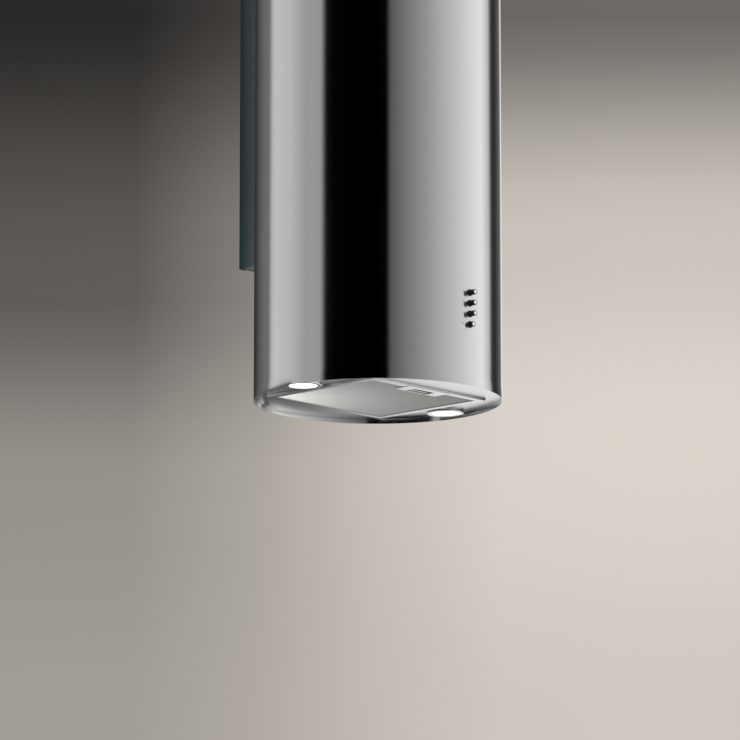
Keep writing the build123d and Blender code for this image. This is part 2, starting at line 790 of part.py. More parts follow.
# ---------------------------------------------------------------- wheel and motor
wheel_half = volute_width / 2 - wheel_end_gap
hub_left = motor_right + hub_gap
hub_length = 16.0
hub_radius = 9.0
web_left = hub_left + 6.0
web_overlap = 3.0           # of the web with the blades, inside the wheel's edge
hoop_depth = 6.0            # of the hoops at the blades' ends
wheel_sheet = 2.0
with BuildPart() as fan_wheel:
    with BuildSketch(fan_plane(-wheel_half)):
        with PolarLocations(wheel_radius - blade_depth / 2, blade_count):
            Rectangle(blade_depth, blade_sheet, rotation=blade_lean)
    extrude(amount=2 * wheel_half)
    for x in (-wheel_half, wheel_half - wheel_sheet):
        with BuildSketch(fan_plane(x)):
            ring(wheel_radius, wheel_radius - hoop_depth)
        extrude(amount=wheel_sheet)
    with BuildSketch(fan_plane(web_left)):
        Circle(wheel_radius - web_overlap)
    extrude(amount=wheel_sheet)
    with BuildSketch(fan_plane(hub_left)):
        Circle(hub_radius)
    extrude(amount=hub_length)
    with BuildSketch(fan_plane(hub_left)):
        Circle(shaft_radius)
    extrude(amount=hub_length, mode=Mode.SUBTRACT)
save(fan_wheel, "fan_wheel")

bearing_cup = 1.5
shaft_hole_radius = shaft_radius + 1.5
vent_radius = 24.0
vent_size = (14.0, 5.0)
with BuildPart() as motor_can:
    with BuildSketch(fan_plane(motor_left)):
        Circle(motor_radius)
    extrude(amount=motor_length)
    with BuildSketch(fan_plane(motor_left + motor_sheet)):
        Circle(motor_radius - motor_sheet)
    extrude(amount=motor_length - 2 * motor_sheet, mode=Mode.SUBTRACT)
    for x in (motor_left + motor_sheet, motor_right - motor_sheet - bearing_width):
        with BuildSketch(fan_plane(x)):
            ring(bearing_radius + bearing_cup, bearing_radius)
        extrude(amount=bearing_width)
    with BuildSketch(fan_plane(motor_left)):
        Circle(shaft_hole_radius)
    extrude(amount=motor_length, mode=Mode.SUBTRACT)
    with BuildSketch(fan_plane(motor_right - motor_sheet)):
        with PolarLocations(vent_radius, 8):
            SlotOverall(*vent_size, rotation=90)
    extrude(amount=motor_sheet, mode=Mode.SUBTRACT)
save(motor_can, "motor_can")

bearing_press = 0.02        # bearings pressed into their cups
bearing_lefts = (motor_left + motor_sheet + seam, motor_right - motor_sheet - bearing_width)
with BuildPart() as motor_bearings:
    for x in bearing_lefts:
        with BuildSketch(fan_plane(x)):
            ring(bearing_radius - bearing_press, shaft_radius + running_clearance)
        extrude(amount=bearing_width - seam)
save(motor_bearings, "motor_bearings")

stack_length = 22.0
stack_left = motor_left + (motor_length - stack_length) / 2
rotor_radius = 17.0
with BuildPart() as stator:
    with BuildSketch(fan_plane(stack_left)):
        ring(motor_radius - motor_sheet - seam, rotor_radius + air_gap)
    extrude(amount=stack_length)
save(stator, "stator")

coil_reach = 5.0
coil_inset = 4.0            # windings inside the motor's can
coil_round = 1.2
with BuildPart() as stator_windings:
    for x in (stack_left - coil_reach - seam, stack_left + stack_length + seam):
        with BuildSketch(fan_plane(x)):
            ring(motor_radius - motor_sheet - coil_inset, rotor_radius + coil_inset)
        extrude(amount=coil_reach)
        fillet(stator_windings.edges().filter_by(GeomType.CIRCLE).group_by(Axis.X)[-1], radius=coil_round)
save(stator_windings, "stator_windings")

with BuildPart() as rotor:
    with BuildSketch(fan_plane(stack_left)):
        ring(rotor_radius, shaft_radius)
    extrude(amount=stack_length)
save(rotor, "rotor")

shaft_end = 2.0
shaft_left = motor_left + shaft_end
shaft_right = hub_left + hub_length + shaft_end
with BuildPart() as motor_shaft:
    with BuildSketch(fan_plane(shaft_left)):
        Circle(shaft_radius)
    extrude(amount=shaft_right - shaft_left)
    chamfer(motor_shaft.edges().filter_by(GeomType.CIRCLE), length=shaft_radius / 8)
save(motor_shaft, "motor_shaft")

# three-armed bracket across the left mouth
arm_reach = inlet_radius + 18.0
arm_width = 14.0
arm_sheet = 2.0
arm_gap = 2.2               # from the arms to the motor
foot_radius = 5.0
arm_right = motor_left - arm_gap
with BuildPart() as motor_bracket:
    with BuildSketch(fan_plane(arm_right - arm_sheet)):
        Circle(motor_radius - 8.0)
        with PolarLocations(arm_reach / 2, 3, start_angle=90):
            SlotOverall(arm_reach + 8.0, arm_width)
        Circle(shaft_hole_radius, mode=Mode.SUBTRACT)
    extrude(amount=arm_sheet)
    with BuildSketch(fan_plane(arm_right)):
        ring(motor_radius - 14.0, motor_radius - 20.0)
        with PolarLocations(arm_reach - 4.0, 3, start_angle=90):
            Circle(foot_radius)
    extrude(amount=arm_gap - seam)
save(motor_bracket, "motor_bracket")

# ---------------------------------------------------------------- capacitor and transformer
capacitor_radius = 15.0
capacitor_y = 40.0
capacitor_low = 120.0
capacitor_length = 62.0
capacitor_round = 2.0
tab_x = 4.0
tab_section = (1.0, 5.0)
tab_length = 8.0
clip_sheet = 1.0
clip_play = 0.2
clip_height = 16.0
clip_low = capacitor_low + 22.0
clip_half = 24.0
clip_mouth = 7.0            # half the clip's open side
side_face = box_x + box_sheet
capacitor_x = -(side_face + clip_sheet + 2 * seam + clip_play + capacitor_radius)
with BuildPart() as capacitor:
    with BuildSketch(level(capacitor_low)):
        with Locations((capacitor_x, capacitor_y)):
            Circle(capacitor_radius)
    extrude(amount=capacitor_length)
    fillet(capacitor.edges().filter_by(GeomType.CIRCLE), radius=capacitor_round)
    with BuildSketch(level(capacitor_low + capacitor_length)):
        with Locations((capacitor_x - tab_x, capacitor_y), (capacitor_x + tab_x, capacitor_y)):
            Rectangle(*tab_section)
    extrude(amount=tab_length)
save(capacitor, "capacitor")

clip_radius = capacitor_radius + clip_play
with BuildPart() as capacitor_clip:
    with BuildSketch(level(clip_low)):
        with Locations((capacitor_x, capacitor_y)):
            ring(clip_radius + clip_sheet, clip_radius)
        rectangle(
            capacitor_x - clip_radius - 2 * clip_sheet, capacitor_x - clip_radius * 0.6,
            capacitor_y - clip_mouth, capacitor_y + clip_mouth, mode=Mode.SUBTRACT,
        )
        rectangle(
            -side_face - seam - clip_sheet, -side_face - seam,
            capacitor_y - clip_half, capacitor_y + clip_half,
        )
    extrude(amount=clip_height)
save(capacitor_clip, "capacitor_clip")

transformer_low = 110.0
transformer_length = 70.0
transformer_depth = 36.0
transformer_half = 26.0
transformer_round = 4.0
foot_half = 38.0
foot_sheet = 2.7
transformer_face = side_face + 3 * seam
with BuildPart() as transformer:
    with BuildSketch(level(transformer_low)):
        rectangle(
            transformer_face, side_face + transformer_depth,
            filter_y - transformer_half, filter_y + transformer_half,
        )
    extrude(amount=transformer_length)
    fillet(transformer.edges().filter_by(Axis.Z), radius=transformer_round)
    chamfer(transformer.edges().group_by(Axis.Z)[-1], length=1.5)
    with BuildSketch(level(transformer_low)):
        foot_back = transformer_face + foot_sheet
        rectangle(transformer_face, foot_back, filter_y - foot_half, filter_y + foot_half)
    extrude(amount=transformer_length)
save(transformer, "lamp_transformer")

# ---------------------------------------------------------------- electrical box behind the motor box
case_sheet = 2.0
case_half = 62.0
case_low = 110.0
case_height = 120.0
case_round = 3.0
case_clearance = 16.0       # to the body behind it, with its cover
cover_gap = 0.1
case_front = box_rear + box_sheet + 2 * seam
case_rear = sqrt(inner_radius**2 - case_half**2) - case_clearance
case_depth = case_rear - case_front
case_top = case_low + case_height
gland_x = 34.0
gland_y = (case_front + case_rear) / 2 + case_sheet
gland_radius = 8.0
gland_bore = 4.2
with BuildPart() as electrical_case:
    with BuildSketch(level(case_low)):
        rectangle(-case_half, case_half, case_front, case_rear)
    extrude(amount=case_height)
    fillet(electrical_case.edges().filter_by(Axis.Z), radius=case_round)
    with BuildSketch(front_plane(case_rear)):
        inside = case_half - case_sheet
        rectangle(-inside, inside, case_low + case_sheet, case_top - case_sheet)
    extrude(amount=case_depth - case_sheet, mode=Mode.SUBTRACT)
    with BuildSketch(level(case_top)):
        with Locations((gland_x, gland_y)):
            Circle(gland_radius)
    extrude(amount=-case_sheet, mode=Mode.SUBTRACT)
save(electrical_case, "electrical_case")

vent_slots = [(-20, case_low + 40 + 8 * row) for row in range(6)]
cover_back = case_rear + cover_gap + case_sheet
with BuildPart() as electrical_cover:
    with BuildSketch(front_plane(cover_back)):
        rectangle(-case_half, case_half, case_low, case_top)
    extrude(amount=case_sheet)
    fillet(electrical_cover.edges().filter_by(Axis.Y), radius=case_round)
    with BuildSketch(front_plane(cover_back)):
        with Locations(*vent_slots):
            SlotOverall(40, 3)
    extrude(amount=case_sheet, mode=Mode.SUBTRACT)
save(electrical_cover, "electrical_cover")

board_inset = 5.0
board_right = 18.0
board_sheet = 1.6
board_y = case_front + 9.6
relay_size = (16.0, 13.0)
relay_height = 14.0
supply_size = (24.0, 20.0)
relays = [(x, case_low + z) for x in (-44, -20) for z in (30, 52)]
with BuildPart() as control_board:
    with BuildSketch(front_plane(board_y)):
        rectangle(-case_half + board_inset, board_right, case_low + 8, case_top - 8)
    extrude(amount=board_sheet)
    with BuildSketch(front_plane(board_y)):
        with Locations(*relays):
            Rectangle(*relay_size)
        with Locations((0, case_low + 90)):
            Rectangle(*supply_size)
    extrude(amount=-relay_height)
save(control_board, "control_board")

block_depth = 16.0
block_half = 15.0
block_low = case_low + 50.0
block_height = 24.0
block_x = gland_x + 5.0
block_back = case_front + case_sheet + seam + block_depth
wire_entries = [(block_x + dx, block_low + block_height / 2) for dx in (-10, 0, 10)]
with BuildPart() as terminal_block:
    with BuildSketch(front_plane(block_back)):
        rectangle(block_x - block_half, block_x + block_half, block_low, block_low + block_height)
    extrude(amount=block_depth)
    with BuildSketch(front_plane(block_back)):
        with Locations(*wire_entries):
            Circle(2.6)
    extrude(amount=-block_depth / 2, mode=Mode.SUBTRACT)
save(terminal_block, "terminal_block")

gland_nut = 11.0
nut_thickness = 4.9
collar_thickness = 6.0
dome_radius = 9.5
dome_height = 12.0
thread_low = case_top - case_sheet - 7.0
with BuildPart() as cable_gland:
    with BuildSketch(level(thread_low)):
        with Locations((gland_x, gland_y)):
            Circle(gland_radius - 2 * seam)
    extrude(amount=case_top + seam - thread_low)
    with BuildSketch(level(case_top - case_sheet - seam - nut_thickness)):
        with Locations((gland_x, gland_y)):
            RegularPolygon(gland_nut, 6)
    extrude(amount=nut_thickness)
    with BuildSketch(level(case_top + seam)):
        with Locations((gland_x, gland_y)):
            RegularPolygon(gland_nut, 6)
    extrude(amount=collar_thickness)
    with BuildSketch(level(case_top + seam + collar_thickness)):
        with Locations((gland_x, gland_y)):
            Circle(dome_radius)
    extrude(amount=dome_height, taper=10)
    with BuildSketch(level(thread_low)):
        with Locations((gland_x, gland_y)):
            Circle(gland_bore)
    extrude(amount=2 * dome_height + collar_thickness, mode=Mode.SUBTRACT)
save(cable_gland, "cable_gland")

# ---------------------------------------------------------------- outlet spigot and its flaps
spigot_low = lid_top + seam
flange_sheet = 1.5
flange_width = 14.0
screw_circle = spigot_radius + 8.0
screw_radius = 1.9
screw_hole_radius = 2.2
pin_z = spigot_low + flange_sheet + flap_height
with BuildPart() as outlet_spigot:
    with BuildSketch(level(spigot_low)):
        ring(spigot_radius + flange_width, duct_bore)
    extrude(amount=flange_sheet)
    with BuildSketch(level(spigot_low)):
        ring(spigot_radius, duct_bore)
    extrude(amount=spigot_length)
    with BuildSketch(side_plane(-spigot_radius - flange_sheet)):
        with Locations((-flap_pin_offset, pin_z), (flap_pin_offset, pin_z)):
            Circle(flap_pin_radius + seam / 2)
    extrude(amount=2 * (spigot_radius + flange_sheet), mode=Mode.SUBTRACT)
    with BuildSketch(level(spigot_low)):
        with PolarLocations(screw_circle, 6, start_angle=30):
            Circle(screw_hole_radius)
    extrude(amount=flange_sheet, mode=Mode.SUBTRACT)
save(outlet_spigot, "outlet_spigot")

pin_reach = spigot_radius - 0.3
with BuildPart() as flap_pins:
    with BuildSketch(side_plane(-pin_reach)):
        with Locations((-flap_pin_offset, pin_z), (flap_pin_offset, pin_z)):
            Circle(flap_pin_radius)
    extrude(amount=2 * pin_reach)
save(flap_pins, "flap_pins")

knuckle_half = 0.74 * spigot_radius
knuckle_radius = 2.9
flap_bore = flap_pin_radius + 0.25
flap_edge = 2.2             # blade's straight edge beyond its pin
for label, side in (("front", -1), ("rear", 1)):
    hinge_y = side * flap_pin_offset
    cut = sorted((hinge_y + side * flap_edge, -side * spigot_radius))
    with BuildPart() as flap:
        with BuildSketch(level(pin_z - flap_sheet / 2)):
            Circle(duct_bore - flap_gap)
            rectangle(-spigot_radius, spigot_radius, *cut, mode=Mode.SUBTRACT)
        extrude(amount=flap_sheet)
        with BuildSketch(side_plane(-knuckle_half)):
            with Locations((hinge_y, pin_z)):
                Circle(knuckle_radius)
                Circle(flap_bore, mode=Mode.SUBTRACT)
        extrude(amount=2 * knuckle_half)
    save(flap, f"flap_{label}")

# ---------------------------------------------------------------- spine on the back of the body
spine_half = spine_width / 2
carrier_height = 60.0
carrier_low = lowest_hanger - 25.0
carrier_land = 15.5         # from the hanger bolts to the carrier's sides
carrier_half = inner_radius * cos(radians(hanger_angles[0])) + carrier_land
carrier_sheet = 2.0
carrier_front = box_rear + box_sheet + seam
carrier_back = inner_radius - 2 * seam
with BuildPart() as rear_carrier:
    with BuildSketch(level(carrier_low)):
        Circle(carrier_back)
        rectangle(-carrier_half, carrier_half, carrier_front, outer_radius, mode=Mode.INTERSECT)
    extrude(amount=carrier_height)
    with BuildSketch(level(carrier_low)):
        Circle(carrier_back - carrier_sheet)
        rectangle(
            -carrier_half + carrier_sheet, carrier_half - carrier_sheet,
            carrier_front + carrier_sheet, outer_radius, mode=Mode.INTERSECT,
        )
    extrude(amount=carrier_height, mode=Mode.SUBTRACT)
    for angle in hanger_angles:
        with BuildSketch(radial_plane(angle, lowest_hanger, carrier_back - 5 * carrier_sheet)):
            Circle(hanger_bolt_radius + bolt_clearance)
        extrude(amount=6 * carrier_sheet, mode=Mode.SUBTRACT)
save(rear_carrier, "rear_carrier")

web_radius = outer_radius + spine_gap
spine_back = wall - spine_gap
spine_length = body_height - spine_bottom
with BuildPart() as spine:
    with BuildSketch(level(spine_bottom)):
        rectangle(-spine_half, spine_half, 0, spine_back)
        Circle(web_radius, mode=Mode.SUBTRACT)
    extrude(amount=spine_length)
    with BuildSketch(level(spine_bottom)):
        rectangle(-spine_half + spine_sheet, spine_half - spine_sheet, 0, spine_back - spine_sheet)
        rectangle(-spine_half + spine_lip, spine_half - spine_lip, 0, wall)
        Circle(web_radius + spine_sheet, mode=Mode.SUBTRACT)
    extrude(amount=spine_length, mode=Mode.SUBTRACT)
    for angle in hanger_angles:
        for height in hanger_heights:
            with BuildSketch(radial_plane(angle, height, outer_radius)):
                Circle(hanger_bolt_radius + bolt_clearance)
            extrude(amount=5 * spine_sheet, mode=Mode.SUBTRACT)
save(spine, "spine")

cap_inset = spine_sheet + 2 * seam
cap_sheet = 1.0
with BuildPart() as spine_cap:
    with BuildSketch(level(spine_bottom + cap_sheet)):
        rectangle(-spine_half + cap_inset, spine_half - cap_inset, 0, spine_back - cap_inset)
        Circle(web_radius + cap_inset, mode=Mode.SUBTRACT)
    extrude(amount=cap_sheet)
save(spine_cap, "spine_cap")

bolt_head = 3.6
bolt_head_radius = 6.0
bolt_tail = 7.0             # bolt beyond the face of its nut
socket_size = 2.4
nut_size = 5.6
nut_height = 4.5
washer_radius = 9.0
head_face = carrier_back - carrier_sheet - seam
nut_face = web_radius + spine_sheet + seam
with BuildPart() as hanger_fasteners:
    for angle in hanger_angles:
        for height in hanger_heights:
            with BuildSketch(radial_plane(angle, height, head_face - bolt_head)):
                Circle(bolt_head_radius)
            extrude(amount=bolt_head)
            with BuildSketch(radial_plane(angle, height, head_face - bolt_head)):
                Circle(hanger_bolt_radius)
            extrude(amount=nut_face + bolt_tail - head_face + bolt_head)
            with BuildSketch(radial_plane(angle, height, head_face - bolt_head)):
                RegularPolygon(socket_size, 6)
            extrude(amount=bolt_head * 0.6, mode=Mode.SUBTRACT)
            with BuildSketch(radial_plane(angle, height, nut_face)):
                RegularPolygon(nut_size, 6)
                Circle(hanger_bolt_radius + seam, mode=Mode.SUBTRACT)
            extrude(amount=nut_height)
        for height in hanger_heights[1:]:
            with BuildSketch(radial_plane(angle, height, head_face + seam / 2)):
                ring(washer_radius, hanger_bolt_radius + bolt_clearance)
            extrude(amount=carrier_sheet)
save(hanger_fasteners, "hanger_fasteners")

# ---------------------------------------------------------------- wall bracket and hanger bar
plate_half_x = spine_half - spine_lip - bracket_gap
plate_half_z = fixing_spacing_z / 2 + fixing_edge_z
plate_round = 6.0
plate_face = wall - bracket_sheet
fixing_spacing_x = 2 * (plate_half_x - fixing_edge_x)
hook_sheet = 3.0
hook_depth = 9.0
hook_height = 12.0
hook_width = 26.0
hook_x = plate_half_x - hook_width
shelf_z = fixing_height + plate_half_z - 22.0
with BuildPart() as wall_bracket:
    with BuildSketch(front_plane(wall)):
        rectangle(-plate_half_x, plate_half_x, fixing_height - plate_half_z, fixing_height + plate_half_z)
    extrude(amount=bracket_sheet)
    fillet(wall_bracket.edges().filter_by(Axis.Y), radius=plate_round)
    hook_front = plate_face - hook_depth
    for side in (-1, 1):
        with BuildSketch(side_plane(side * hook_x - hook_width / 2)):
            rectangle(hook_front, plate_face, shelf_z - hook_sheet, shelf_z)
            rectangle(hook_front, hook_front + hook_sheet, shelf_z - hook_sheet, shelf_z + hook_height)
        extrude(amount=hook_width)
    with BuildSketch(Plane(origin=(0, -bracket_sheet, 0), x_dir=(1, 0, 0), z_dir=(0, -1, 0))):
        with GridLocations(fixing_spacing_x, fixing_spacing_z, 2, 2):
            Circle(fixing_hole_radius)
    extrude(amount=-bracket_sheet, mode=Mode.SUBTRACT)
save(wall_bracket, "wall_bracket")

bar_sheet = 3.0
bar_height = 26.0
bar_depth = 18.0
bar_half = spine_half - spine_sheet - seam
bar_back = plate_face - bar_sheet / 2
bar_seat = shelf_z + seam
with BuildPart() as hanger_bar:
    with BuildSketch(side_plane(-bar_half)):
        rectangle(bar_back - bar_sheet, bar_back, bar_seat, bar_seat + bar_height)
        rectangle(bar_back - bar_depth, bar_back, bar_seat + bar_height - bar_sheet, bar_seat + bar_height)
    extrude(amount=2 * bar_half)
save(hanger_bar, "hanger_bar")

# ---------------------------------------------------------------- screws
screw_seat = seam / 2
screw_head_radius = 3.6
screw_head = 2.2
screw_inset = 20.0
lid_screw_places = [
    (side * (box_x - screw_inset), y)
    for side in (-1, 1)
    for y in (box_front + screw_inset, box_rear - screw_inset)
]
with BuildPart() as lid_screws:
    with BuildSketch(level(lid_top + screw_seat)):
        with Locations(*lid_screw_places):
            Circle(screw_head_radius)
    extrude(amount=screw_head)
    with BuildSketch(level(spigot_low + flange_sheet + screw_seat)):
        with PolarLocations(screw_circle, 6, start_angle=30):
            Circle(screw_head_radius)
    extrude(amount=screw_head)
    with BuildSketch(level(spigot_low)):
        with PolarLocations(screw_circle, 6, start_angle=30):
            Circle(screw_radius)
    extrude(amount=flange_sheet + screw_seat)
save(lid_screws, "lid_screws")
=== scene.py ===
# %% [markdown]
# # A cylindrical wall range hood
#
# The hood is a polished steel tube, held off the wall by a narrow painted spine. Its underside is a
# recessed steel panel with a mesh grease filter and two halogen lamps, and four chrome push buttons stand
# on its front. The CAD frame brings every piece at its true size and place. This script gives each piece
# its finish, and remakes the ones whose beauty lies in a smooth or a very fine surface.

# %% Load the frame
import bmesh
import bpy
import json
import numpy as np
from math import pi, radians
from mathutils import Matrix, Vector


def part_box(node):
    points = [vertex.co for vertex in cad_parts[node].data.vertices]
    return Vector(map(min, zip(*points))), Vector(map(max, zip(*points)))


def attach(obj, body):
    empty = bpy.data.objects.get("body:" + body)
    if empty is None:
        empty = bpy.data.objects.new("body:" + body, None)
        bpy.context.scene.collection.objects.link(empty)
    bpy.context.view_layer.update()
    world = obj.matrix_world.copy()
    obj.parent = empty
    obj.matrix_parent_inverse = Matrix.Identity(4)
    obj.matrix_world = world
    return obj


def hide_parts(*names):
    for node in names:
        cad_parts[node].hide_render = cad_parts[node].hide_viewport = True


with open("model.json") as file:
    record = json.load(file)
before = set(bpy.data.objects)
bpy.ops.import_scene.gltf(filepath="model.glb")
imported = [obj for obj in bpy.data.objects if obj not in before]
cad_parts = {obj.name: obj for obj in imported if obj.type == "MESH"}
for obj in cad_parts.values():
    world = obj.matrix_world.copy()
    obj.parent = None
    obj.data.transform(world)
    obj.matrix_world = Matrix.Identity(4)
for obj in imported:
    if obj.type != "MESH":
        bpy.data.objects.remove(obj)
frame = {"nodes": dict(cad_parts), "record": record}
nodes = frame["nodes"]
bodies = frame["record"]["behaviour"]["bodies"]
piece_body = {node: body for body, members in bodies.items() for node in members}
slot_of = {part["node"]: part["material_slot"] for part in frame["record"]["subparts"]}
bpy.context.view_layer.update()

# %% [markdown]
# Every place in the scene is worked out from the frame. The tube gives the axis, the radius and the rim,
# and the panel, the lamps and the buttons give their own boxes.

# %% Sizes taken from the frame
tube_low, tube_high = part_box("outer_cylinder")
panel_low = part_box("bottom_panel")[0]
RADIUS = (tube_high.x - tube_low.x) / 2
AXIS_Y = tube_high.y - RADIUS
RIM = tube_low.z
TOP = tube_high.z
SHELL = 0.001
print("tube: radius %.3f, rim %.3f, top %.3f, axis y %.3f" % (RADIUS, RIM, TOP, AXIS_Y))


# %% [markdown]
# ## Helpers for surfaces
#
# A shape here is a grid of points: rows along one parameter and columns along the other. The points are
# computed as whole arrays, and the faces are the squares between neighbouring points.

# %% A grid becomes a mesh
def grid_faces(rows, columns, wrap_rows=False, wrap_columns=False):
    """Index quads of a grid: square (i, j) joins point (i, j) to its three next neighbours."""
    i = np.arange(rows if wrap_rows else rows - 1)[:, None]
    j = np.arange(columns if wrap_columns else columns - 1)[None, :]
    down, right = (i + 1) % rows, (j + 1) % columns
    quads = np.stack([i * columns + j, i * columns + right, down * columns + right, down * columns + j], -1)
    return quads.reshape(-1, 4)


def make_piece(name, points, faces, smooth=True):
    """Mesh object, at the origin, from an (n, 3) array of points and a list or array of faces."""
    mesh = bpy.data.meshes.new(name)
    corners = [list(map(int, face)) for face in faces]
    mesh.from_pydata(np.asarray(points, float).reshape(-1, 3).tolist(), [], corners)
    mesh.polygons.foreach_set("use_smooth", np.full(len(mesh.polygons), smooth))
    mesh.update()
    piece = bpy.data.objects.new(name, mesh)
    bpy.context.scene.collection.objects.link(piece)
    return piece


def seal(piece, sharp=35):
    """Merges doubled points, turns every face outwards, and keeps edges above the sharp angle crisp."""
    work = bmesh.new()
    work.from_mesh(piece.data)
    bmesh.ops.remove_doubles(work, verts=work.verts, dist=1e-6)
    bmesh.ops.recalc_face_normals(work, faces=work.faces)
    work.to_mesh(piece.data)
    work.free()
    piece.data.set_sharp_from_angle(angle=radians(sharp))
    return piece


def stand_for(piece, node, body=None):
    """The piece rides with its CAD node's body, and is shown in its place."""
    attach(piece, body or piece_body[node])
    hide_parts(node)
    return piece


def dress(piece, material):
    """Gives a piece one material, on every face."""
    piece.data.materials.clear()
    piece.data.materials.append(material)
    return piece


# %% [markdown]
# ## Helpers for materials
#
# Each finish is a node tree. A few small functions keep the trees short: one adds a node, one makes a
# pattern on Object coordinates, and one turns a pattern into bump.

# %% Node helpers
def new_material(name):
    """Empty Principled material: returns the material, its tree and its shader."""
    material = bpy.data.materials.new(name)
    material.use_nodes = True
    tree = material.node_tree
    return material, tree, tree.nodes["Principled BSDF"]


def add_node(tree, kind, **settings):
    """Adds a node; settings are its properties, or its input sockets when the name is one."""
    node = tree.nodes.new(kind)
    for key, value in settings.items():
        if key in node.inputs:
            node.inputs[key].default_value = value
        else:
            setattr(node, key, value)
    return node


def object_pattern(tree, kind, stretch=(1, 1, 1), centre=(0, 0, 0), turn=(0, 0, 0), **settings):
    """Procedural texture on Object coordinates, stretched, centred and turned by a Mapping node."""
    place = add_node(tree, "ShaderNodeTexCoord")
    mapping = add_node(tree, "ShaderNodeMapping", vector_type="TEXTURE")
    mapping.inputs["Location"].default_value = centre
    mapping.inputs["Rotation"].default_value = turn
    mapping.inputs["Scale"].default_value = [1 / s for s in stretch]
    texture = add_node(tree, kind, **settings)
    tree.links.new(place.outputs["Object"], mapping.inputs["Vector"])
    tree.links.new(mapping.outputs["Vector"], texture.inputs["Vector"])
    return texture


def ramp(tree, source, stops, interpolation="LINEAR"):
    """Colour ramp fed by a socket: stops are (position, colour) pairs, or (position, grey)."""
    node = add_node(tree, "ShaderNodeValToRGB")
    node.color_ramp.interpolation = interpolation
    elements = node.color_ramp.elements
    while len(elements) < len(stops):
        elements.new(0.5)
    for element, (position, colour) in zip(elements, sorted(stops, key=lambda stop: stop[0])):
        element.position = position
        grey = isinstance(colour, (int, float))
        element.color = (colour, colour, colour, 1) if grey else (*colour, 1)
    tree.links.new(source, node.inputs["Fac"])
    return node.outputs["Color"]


def span(tree, source, low, high):
    """Maps a texture's 0..1 to low..high."""
    node = add_node(tree, "ShaderNodeMapRange")
    node.inputs["To Min"].default_value = low
    node.inputs["To Max"].default_value = high
    tree.links.new(source, node.inputs["Value"])
    return node.outputs["Result"]


def bump(tree, shader, source, strength, distance):
    """Feeds a height pattern to the shader's normal."""
    node = add_node(tree, "ShaderNodeBump")
    node.inputs["Strength"].default_value = strength
    node.inputs["Distance"].default_value = distance
    tree.links.new(source, node.inputs["Height"])
    if shader.inputs["Normal"].is_linked:
        tree.links.new(shader.inputs["Normal"].links[0].from_socket, node.inputs["Normal"])
    tree.links.new(node.outputs["Normal"], shader.inputs["Normal"])


# %% [markdown]
# ## The polished, brushed tube
#
# The tube is rolled from stainless sheet and brushed round its axis with a very fine grit. Fine grooves
# that run round the tube scatter light up and down but not sideways. So a reflection keeps its crisp
# upright edges while it smears vertically, which is what the shader's anisotropy does, with its tangent
# running round the axis.

# %% Brushed steel, round the tube
STEEL = (0.66, 0.66, 0.655)


def brushed_steel(name, colour, roughness, anisotropy, tangent_axis=None, grain=(6, 6, 900), relief=0.00001):
    """Stainless steel with brushing: grain is how fast the streaks change along X, Y and Z."""
    material, tree, shader = new_material(name)
    shader.inputs["Metallic"].default_value = 1.0
    shader.inputs["Anisotropic"].default_value = anisotropy
    shader.inputs["Anisotropic Rotation"].default_value = 0.25 if tangent_axis else 0.0
    streaks = object_pattern(tree, "ShaderNodeTexNoise", stretch=grain, Scale=1.0, Detail=5.0, Roughness=0.65)
    haze = object_pattern(tree, "ShaderNodeTexNoise", stretch=(4, 4, 4), Scale=1.0, Detail=2.0)
    mix = add_node(tree, "ShaderNodeMix", data_type="RGBA")
    dark = [c * 0.955 for c in colour]
    mix.inputs["A"].default_value = (*dark, 1)
    mix.inputs["B"].default_value = (*colour, 1)
    tree.links.new(streaks.outputs["Fac"], mix.inputs["Factor"])
    tree.links.new(mix.outputs["Result"], shader.inputs["Base Color"])
    gloss = span(tree, haze.outputs["Fac"], roughness * 0.9, roughness * 1.1)
    tree.links.new(gloss, shader.inputs["Roughness"])
    bump(tree, shader, streaks.outputs["Fac"], 0.25, relief)
    if tangent_axis:
        tangent = add_node(tree, "ShaderNodeTangent", direction_type="RADIAL", axis=tangent_axis)
        tree.links.new(tangent.outputs["Tangent"], shader.inputs["Tangent"])
    return material


tube_steel = brushed_steel("tube brushed steel", STEEL, 0.14, 0.9, "Z")
print("material:", tube_steel.name)

# %% [markdown]
# The tube itself is remade as one smooth shell, because a mirror finish shows every facet of a coarse mesh.
# Its outer and inner skins are flat grids wrapped round the axis, and a rounded edge joins them at the rim
# and at the top. Round each button the grid is bent into rings, so that four true holes are left for the
# collars.

# %% Tube with its four button holes
HOLE = 0.0061
HALF_PATCH = 0.00925
ROWS_BELOW, ROWS_BESIDE, ROWS_ABOVE = 6, 33, 14
COLUMNS_AROUND, COLUMNS_IN_STRIP = 241, 9
EDGE_ROUND = 0.0003
button_rows = [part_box(n) for n in ("light_button", "speed_button_1", "speed_button_2", "speed_button_3")]
button_heights = [(low.z + high.z) / 2 for low, high in button_rows]


def on_tube(along, height, radius):
    """Wraps a flat point onto the tube: along is arc length at the outside, measured from the front line."""
    angle = np.asarray(along) / RADIUS
    x = radius * np.sin(angle)
    y = AXIS_Y - radius * np.cos(angle)
    return np.stack(np.broadcast_arrays(x, y, height), -1)


def hole_patch(height, rings=4, steps=8):
    """Flat square round a button with a round hole: rings blend a circle into the square's outline."""
    run = np.linspace(-HALF_PATCH, HALF_PATCH, steps + 1)[:-1]
    edge = np.full(steps, HALF_PATCH)
    square = np.stack([np.concatenate([run, edge, -run, -edge]), np.concatenate([-edge, run, edge, -run])])
    circle = square / np.hypot(*square) * HOLE
    share = np.linspace(0, 1, rings + 1)[:, None]
    u, v = (circle[k] * (1 - share) + square[k] * share for k in (0, 1))
    return u, height + v


